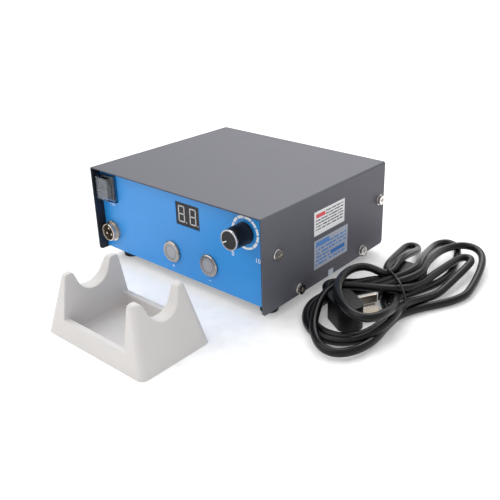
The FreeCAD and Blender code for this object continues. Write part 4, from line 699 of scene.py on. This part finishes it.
def joined(name, pieces):
    """Several pieces as one."""
    bpy.ops.object.select_all(action="DESELECT")
    for piece in pieces:
        piece.select_set(True)
    bpy.context.view_layer.objects.active = pieces[0]
    bpy.ops.object.join()
    pieces[0].name = name
    pieces[0].data.name = name
    return pieces[0]


def finished(piece, material, body="root", smooth_deg=35):
    """Shades a piece, gives it its finish and lets it ride on its body."""
    pick(piece)
    bpy.ops.object.shade_smooth_by_angle(angle=math.radians(smooth_deg))
    piece.data.materials.clear()
    piece.data.materials.append(material)
    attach(piece, body)
    return piece


def smooth_line(name, points, thick, steps, roundness, closed=False):
    """A round cord or wire as a curve that is drawn to its control points."""
    curve = bpy.data.curves.new(name, "CURVE")
    curve.dimensions = "3D"
    spline = curve.splines.new("NURBS")
    spline.points.add(len(points) - 1)
    for point, place in zip(spline.points, points):
        point.co = (*mm(*place), 1)
    spline.order_u = 3
    spline.use_cyclic_u = closed
    spline.use_endpoint_u = not closed
    spline.resolution_u = steps
    curve.bevel_depth = mm(thick / 2)
    curve.bevel_resolution = roundness
    curve.use_fill_caps = not closed
    line = bpy.data.objects.new(name, curve)
    bpy.context.scene.collection.objects.link(line)
    return line


# ---------------------------------------------------------------- mains lead

LEAD_THICK = 6.4
# The tie's middle, and the directions across the tied strands and along them.
TIE = (153.0, 52.5)
ACROSS = (0.788, -0.616)
ALONG = (0.616, 0.788)
LOBE_STEPS = 11

# Each turn is a lobe round the plug, a lane up through the tie, a far lobe and a lane back.
# A lobe is part of an egg: middle, heading of its tip, half length, half width, how much
# wider its tip is, how blunt it is (1 is an ellipse, less is squarer), the angles where it
# starts and ends, and its heights at the start, tip and end.
# A lane is its distance across the tie and its height.
TURNS = [
    {
        "near": ((139.5, 14), -90, 31.5, 29, 0.0, 1.0, -98, 135, (11, 3.4, 5)),
        "up": (3.4, 20.3),
        "far": ((172.5, 112), 101, 57, 19.5, 0.12, 0.75, -120, 115, (21, 10, 3.6)),
        "back": (17, 3.6),
    },
    {
        "near": ((145.2, 2), -72, 41, 25.5, -0.2, 0.85, -96, 145, (4.5, 5.5, 16.5)),
        "up": (11.8, 18.4),
        "far": ((171.5, 104), 90, 41, 6.2, 0.15, 0.32, -115, 115, (14, 10, 6)),
        "back": (16.6, 9.9),
    },
    {
        "near": ((139.5, 12), -84, 36.5, 34.5, -0.12, 1.0, -95, 135, (15, 3.6, 4)),
        "up": (-3.6, 19.8),
        "far": ((156, 121), 108, 57, 12.5, 0.0, 0.4, -118, 92, (23.5, 4, 4)),
        "back": (9.9, 12),
    },
    {
        "near": ((146, 23), -58, 44, 22, -0.1, 1.0, -95, 182, (15, 25.3, 21)),
        "up": (-10.6, 18.8),
        "far": ((126, 112), 104, 39, 6.6, 0.2, 0.34, 115, -115, (21.5, 4, 12)),
        "back": (-16.5, 14),
    },
]
LEAD_START = [(149.0, 47.2, 9), (150.4, 40, 9), (155.5, 34, 9.3)]
LEAD_END = [
    (131, 54.5, 13.5), (122, 48.3, 10.6), (113, 43.5, 10.2), (105.8, 38.6, 10.2),
    (103.4, 32, 10.0), (106.8, 26, 9.7), (113.2, 22.3, 9.5),
]


def lane_point(across, height, along=0):
    """A point near the tie: distance across it, height and distance along the strands."""
    x = TIE[0] + ACROSS[0] * across + ALONG[0] * along
    y = TIE[1] + ACROSS[1] * across + ALONG[1] * along
    return (x, y, height)


def lobe(middle, heading, half_length, half_width, egg, blunt, first, last, heights):
    """The points of one lobe, from its first angle round its tip to its last."""
    turn = math.radians(heading)
    tip = (math.cos(turn), math.sin(turn))
    side = (tip[1], -tip[0])

    def reach(degrees):
        """How far towards the tip the lobe is at an angle."""
        cosine = math.cos(math.radians(degrees))
        return half_length * math.copysign(abs(cosine) ** blunt, cosine)

    points = []
    for step in range(LOBE_STEPS):
        degrees = first + (last - first) * step / (LOBE_STEPS - 1)
        angle = math.radians(degrees)
        out = reach(degrees)
        wide = half_width * (1 + egg * math.cos(angle)) * math.sin(angle)
        before_tip = 2 * step < LOBE_STEPS - 1
        outer, outer_height = (first, heights[0]) if before_tip else (last, heights[2])
        lift = min(1, (half_length - out) / (half_length - reach(outer)))
        lift = lift * lift * (3 - 2 * lift)
        x = middle[0] + out * tip[0] + wide * side[0]
        y = middle[1] + out * tip[1] + wide * side[1]
        points.append((x, y, heights[1] * (1 - lift) + outer_height * lift))
    return points


def lead_route():
    """The lead's control points from the connector, round its turns, to the plug."""
    points = list(LEAD_START)
    for turn in TURNS:
        points += lobe(*turn["near"])
        points.append(lane_point(*turn["up"]))
        points += lobe(*turn["far"])
        points.append(lane_point(*turn["back"]))
    return points + LEAD_END


def make_lead(finishes):
    """The black sheathed lead, one smooth line from the connector's neck to the plug's."""
    lead = smooth_line("mains_lead", lead_route(), LEAD_THICK, steps=6, roundness=6)
    lead.data.materials.append(finishes["lead_pvc"])
    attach(lead, "root")
    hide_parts("lead_hank")
    return lead


TIE_THICK = 1.5
# The tie's loop in the plane across the strands: distance across the tie, height.
TIE_LOOP = [
    (-22, 12), (-21.5, 19), (-17, 22.6), (-8, 23.8), (2, 24.6), (11, 23.6), (18, 19.5),
    (21.5, 12), (21.3, 4), (16, 0.9), (2, 0.8), (-14, 0.9), (-20.5, 5),
]
# Its two ends: distance across the tie, height, distance along the strands.
TIE_TAIL = [(20, 1.6, 0), (21.5, 1.0, -4), (20.5, 1.0, -9), (21.8, 1.0, -13)]
TAIL_APART = 1.3


def tie_length(name, points, closed):
    """One length of the tie's wire, as a mesh."""
    line = smooth_line(name, points, TIE_THICK, steps=8, roundness=3, closed=closed)
    pick(line)
    bpy.ops.object.convert(target="MESH")
    return bpy.context.object


def make_tie(finishes):
    """The coated wire round the strands, with its two ends one above the other."""
    lengths = [tie_length("tie_loop", [lane_point(*point) for point in TIE_LOOP], True)]
    for side in (0, 1):
        tail = [
            lane_point(across, height + TAIL_APART * side, along)
            for across, height, along in TIE_TAIL
        ]
        lengths.append(tie_length(f"tie_tail_{side}", tail, False))
    tie = joined("tie_wire_loop", lengths)
    finished(tie, finishes["tie_wire"], smooth_deg=60)
    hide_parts("lead_tie")
    return tie


# ---------------------------------------------------------------- handpiece rest

REST_VOXEL = 0.6
REST_SMOOTHINGS = 8
REST_KEPT_SHARE = 0.5
# The rest's lowest rim, up to this height, stays flat and square on the table.
REST_BASE = 2


def make_rest(finishes):
    """The moulded rest, with every edge softened as it leaves its mould."""
    source = NODES["handpiece_rest"]
    rest = bpy.data.objects.new("moulded_rest", source.data.copy())
    bpy.context.scene.collection.objects.link(rest)
    edit(rest)
    bpy.ops.mesh.select_all(action="SELECT")
    bpy.ops.mesh.remove_doubles(threshold=mm(0.02))
    bpy.ops.mesh.dissolve_limited(angle_limit=math.radians(1))
    done()
    modify(rest, "REMESH", mode="VOXEL", voxel_size=mm(REST_VOXEL))
    upper = rest.vertex_groups.new(name="above_base")
    upper_points = [p.index for p in rest.data.vertices if p.co.z > mm(REST_BASE)]
    upper.add(upper_points, 1, "REPLACE")
    modify(
        rest, "SMOOTH", factor=0.5, iterations=REST_SMOOTHINGS, vertex_group="above_base",
    )
    modify(rest, "DECIMATE", ratio=REST_KEPT_SHARE)
    finished(rest, finishes["rest_plastic"], smooth_deg=60)
    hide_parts("handpiece_rest")
    return rest


# ---------------------------------------------------------------- panel print and display

PRINT_THICK = 0.06
# Stands a flat shape up, so that it faces the front.
FACING_FRONT = Matrix.Rotation(math.radians(90), 4, "X")

SEGMENT_WIDE = 1.0
DIGIT_WIDE, DIGIT_HIGH = 6.1, 12.8
DIGIT_LEFTS = (2.4, 14.9)
CORNER_LAP = 1.0
DOT_RADIUS = 0.55
DOT_APART = 2.1
DOT_SIDES = 16


def flat_shape(name, corners, radius):
    """A flat regular shape round the origin, with its radius in millimetres."""
    return start(
        name, bpy.ops.mesh.primitive_circle_add, vertices=corners, radius=mm(radius),
        fill_type="NGON", location=(0, 0, 0),
    )


def thicken():
    """Gives the flat shape in edit mode the ink's thickness, with its faces outwards."""
    bpy.ops.mesh.select_all(action="SELECT")
    bpy.ops.mesh.extrude_region_move(
        TRANSFORM_OT_translate={"value": (0, 0, mm(PRINT_THICK))},
    )
    bpy.ops.mesh.select_all(action="SELECT")
    bpy.ops.mesh.normals_make_consistent(inside=False)


def segment(name, middle_x, middle_z, length, upright, front_y):
    """One pointed bar of a seven-segment digit."""
    corner = SEGMENT_WIDE / math.sqrt(3)
    bar = flat_shape(name, 6, corner)
    half = mm(length / 2 - corner)
    edit(bar)
    # A six-sided ring has two corners on its Y axis: pulled apart, they point the bar.
    for side in (-1, 1):
        pick_points(bar, lambda co: co.y * side > 1e-6)
        bpy.ops.transform.translate(value=(0, side * half, 0))
    thicken()
    done()
    lying = Matrix.Rotation(0 if upright else math.radians(90), 4, "Z")
    place = Matrix.Translation(mm(middle_x, front_y, middle_z))
    bar.matrix_world = place @ (FACING_FRONT @ lying)
    apply_place(bar)
    return bar


def decimal_point(name, x, y, z):
    """The round dot beside a digit."""
    dot = flat_shape(name, DOT_SIDES, DOT_RADIUS)
    edit(dot)
    thicken()
    done()
    dot.matrix_world = Matrix.Translation(mm(x, y, z)) @ FACING_FRONT
    apply_place(dot)
    return dot


def make_digits(unlit):
    """Two unlit seven-segment digits and their decimal points, on the display's face."""
    low, high = box_mm("display_module")
    front = low.y
    middle = (low.z + high.z) / 2
    bars = []
    for digit, left in enumerate(DIGIT_LEFTS):
        x_left = low.x + left + SEGMENT_WIDE / 2
        x_right = x_left + DIGIT_WIDE
        x_mid = (x_left + x_right) / 2
        lying, upright = DIGIT_WIDE + CORNER_LAP, DIGIT_HIGH / 2 + CORNER_LAP
        for row in (-1, 0, 1):
            z = middle + row * DIGIT_HIGH / 2
            bars.append(segment(f"bar_{digit}_{row}", x_mid, z, lying, False, front))
        for x in (x_left, x_right):
            for row in (-1, 1):
                z = middle + row * DIGIT_HIGH / 4
                name = f"post_{digit}_{row}_{x:.0f}"
                bars.append(segment(name, x, z, upright, True, front))
        foot = middle - DIGIT_HIGH / 2
        bars.append(decimal_point(f"dot_{digit}", x_right + DOT_APART, front, foot))
    digits = joined("display_digits", bars)
    return finished(digits, unlit, smooth_deg=20)


DIAL_INNER, DIAL_OUTER = 11.0, 13.2
DIAL_GAP_DEG = 4.0
DIAL_STEPS_DEG = [-54, -25, 2, 30, 59, 94, 126, 154, 182, 210, 234]
DIAL_BASE_DEG = (236, 304)
# The base bar is this much narrower than the marks.
DIAL_BASE_INSET = 0.5
ARC_STEP_DEG = 4
ARC_LEAST_STEPS = 3

# Each sign's height, and its place from the dial's middle or from the lower edge of the
# switch or the button.
NUMBER_HIGH = 5.2
LOW_NUMBER_PLACE = (-13.0, -20.6)
HIGH_NUMBER_PLACE = (11.5, -19.4)
SWITCH_SIGN_HIGH = 3.4
SWITCH_SIGN_PLACE = (1.5, -3.4)
BUTTON_SIGN_HIGH = 5.0
BUTTON_SIGN_DROP = 6.6


def arc_bar(name, centre, first, last, inner, outer):
    """A flat curved bar of print, spun round a centre from its first angle to its last."""
    middle = (inner + outer) / 2
    angle = math.radians(first)
    place = centre + Vector((middle * math.cos(angle), 0, middle * math.sin(angle)))
    bar = start(name, bpy.ops.mesh.primitive_plane_add, size=1, location=(0, 0, 0))
    # The plane becomes the bar's cross-section: across the ring, and as thick as the ink.
    turn = Matrix.Rotation(-angle, 4, "Y")
    shape = Matrix.Diagonal((mm(outer - inner), mm(PRINT_THICK), 1, 1))
    bar.matrix_world = Matrix.Translation(place * MM) @ turn @ shape
    apply_place(bar)
    edit(bar)
    bpy.ops.mesh.select_all(action="SELECT")
    bpy.ops.mesh.spin(
        steps=max(ARC_LEAST_STEPS, int((last - first) / ARC_STEP_DEG)),
        angle=math.radians(last - first), center=centre * MM, axis=(0, 1, 0),
    )
    bpy.ops.mesh.select_all(action="SELECT")
    bpy.ops.mesh.remove_doubles(threshold=mm(0.005))
    bpy.ops.mesh.normals_make_consistent(inside=False)
    done()
    return bar


def printed_sign(name, body, size, x, z, y):
    """A generic numeral or sign printed on the panel."""
    text = start(name, bpy.ops.object.text_add, location=(0, 0, 0))
    text.data.body = body
    text.data.size = mm(size)
    text.data.extrude = mm(PRINT_THICK / 2)
    text.data.align_x, text.data.align_y = "CENTER", "CENTER"
    bpy.ops.object.convert(target="MESH")
    text = bpy.context.object
    text.matrix_world = Matrix.Translation(mm(x, y, z)) @ FACING_FRONT
    apply_place(text)
    return text


def make_print(white):
    """White ink on the overlay: the dial's broken ring, its end numbers and plain signs."""
    ink_y = box_mm("front_overlay")[0].y - PRINT_THICK / 2
    knob_low, knob_high = box_mm("knob")
    centre = (knob_low + knob_high) / 2
    centre.y = ink_y
    half_gap = DIAL_GAP_DEG / 2
    pieces = []
    for number, (first, last) in enumerate(zip(DIAL_STEPS_DEG, DIAL_STEPS_DEG[1:])):
        ends = (first + half_gap, last - half_gap)
        pieces.append(arc_bar(f"mark_{number}", centre, *ends, DIAL_INNER, DIAL_OUTER))
    base_inner = DIAL_INNER + DIAL_BASE_INSET
    pieces.append(arc_bar("base_mark", centre, *DIAL_BASE_DEG, base_inner, DIAL_OUTER))
    for name, body, (right, up) in (
        ("low_number", "0", LOW_NUMBER_PLACE), ("high_number", "10", HIGH_NUMBER_PLACE),
    ):
        x, z = centre.x + right, centre.z + up
        pieces.append(printed_sign(name, body, NUMBER_HIGH, x, z, ink_y))
    boot_low, boot_high = box_mm("switch_boot")
    x = (boot_low.x + boot_high.x) / 2 + SWITCH_SIGN_PLACE[0]
    z = boot_low.z + SWITCH_SIGN_PLACE[1]
    pieces.append(printed_sign("switch_sign", "I  O", SWITCH_SIGN_HIGH, x, z, ink_y))
    for side, sign in (("left", "+"), ("right", "–")):
        cap_low, cap_high = box_mm(f"{side}_button_cap")
        x = (cap_low.x + cap_high.x) / 2
        z = cap_low.z - BUTTON_SIGN_DROP
        pieces.append(printed_sign(f"{side}_sign", sign, BUTTON_SIGN_HIGH, x, z, ink_y))
    panel_print = joined("panel_print", pieces)
    return finished(panel_print, white, smooth_deg=20)


# The inner and outer radius of the ring of painted shadow that stands for the groove in a
# button's cap.
CAP_LINE = (5.1, 5.4)


def make_cap_lines(dark):
    """The thin turned groove near the edge of each button's cap, drawn as a flat ring of
    painted shadow.
    """
    for side in ("left", "right"):
        low, high = box_mm(f"{side}_button_cap")
        centre = (low + high) / 2
        centre.y = low.y
        line = arc_bar(f"{side}_cap_line", centre, 0, 360, *CAP_LINE)
        # Painted shadow: a mid-grey ring where the groove's shade falls.
        finished(line, dark, f"{side}_button", smooth_deg=20)


POINTER_DEG = 208
POINTER_REACH = 5.0
POINTER_SIZE = (4.2, 0.5, 0.75)
POINTER_EDGE = 0.12


def make_pointer(white):
    """The white line let into the knob's face, which shows where it is turned."""
    low, high = box_mm("knob")
    middle = (low + high) / 2
    pointer = start(
        "knob_pointer", bpy.ops.mesh.primitive_cube_add, size=1, location=(0, 0, 0),
    )
    size = Matrix.Diagonal((*mm(*POINTER_SIZE), 1))
    reach = Matrix.Translation(mm(POINTER_REACH, 0, 0)) @ size
    turn = Matrix.Rotation(-math.radians(POINTER_DEG), 4, "Y")
    face = Matrix.Translation(mm(middle.x, low.y, middle.z))
    pointer.matrix_world = face @ turn @ reach
    apply_place(pointer)
    modify(pointer, "BEVEL", width=mm(POINTER_EDGE), segments=2)
    return finished(pointer, white, "control_knob")


def make_inks():
    """The finishes of fine lines: white ink, pale unlit bars and the painted shadow of a
    groove.
    """
    # Screen ink: flat white, slightly raised.
    ink = moulded("screen_ink_white", "#F2F4F6", 0.5, 0.6, 0.005)
    # Diffuser over an unlit lamp: pale grey and satin.
    unlit = moulded("diffuser_unlit", "#C9C6C6", 0.45, 0.8, 0.005)
    # Shadow in a turned groove: mid grey and matt.
    groove = moulded("groove_shadow", "#5E5D62", 0.6, 0.5, 0.005)
    return ink, unlit, groove


# ---------------------------------------------------------------- the whole


def main():
    """Builds the whole scene."""
    finishes = make_finishes()
    # groove is the painted shadow of the caps' grooves.
    ink, unlit, groove = make_inks()
    make_camera()
    make_stage()
    dress_nodes(finishes)
    lead = make_lead(finishes)
    tie = make_tie(finishes)
    make_rest(finishes)
    make_digits(unlit)
    make_print(ink)
    make_pointer(ink)
    make_cap_lines(groove)


main()
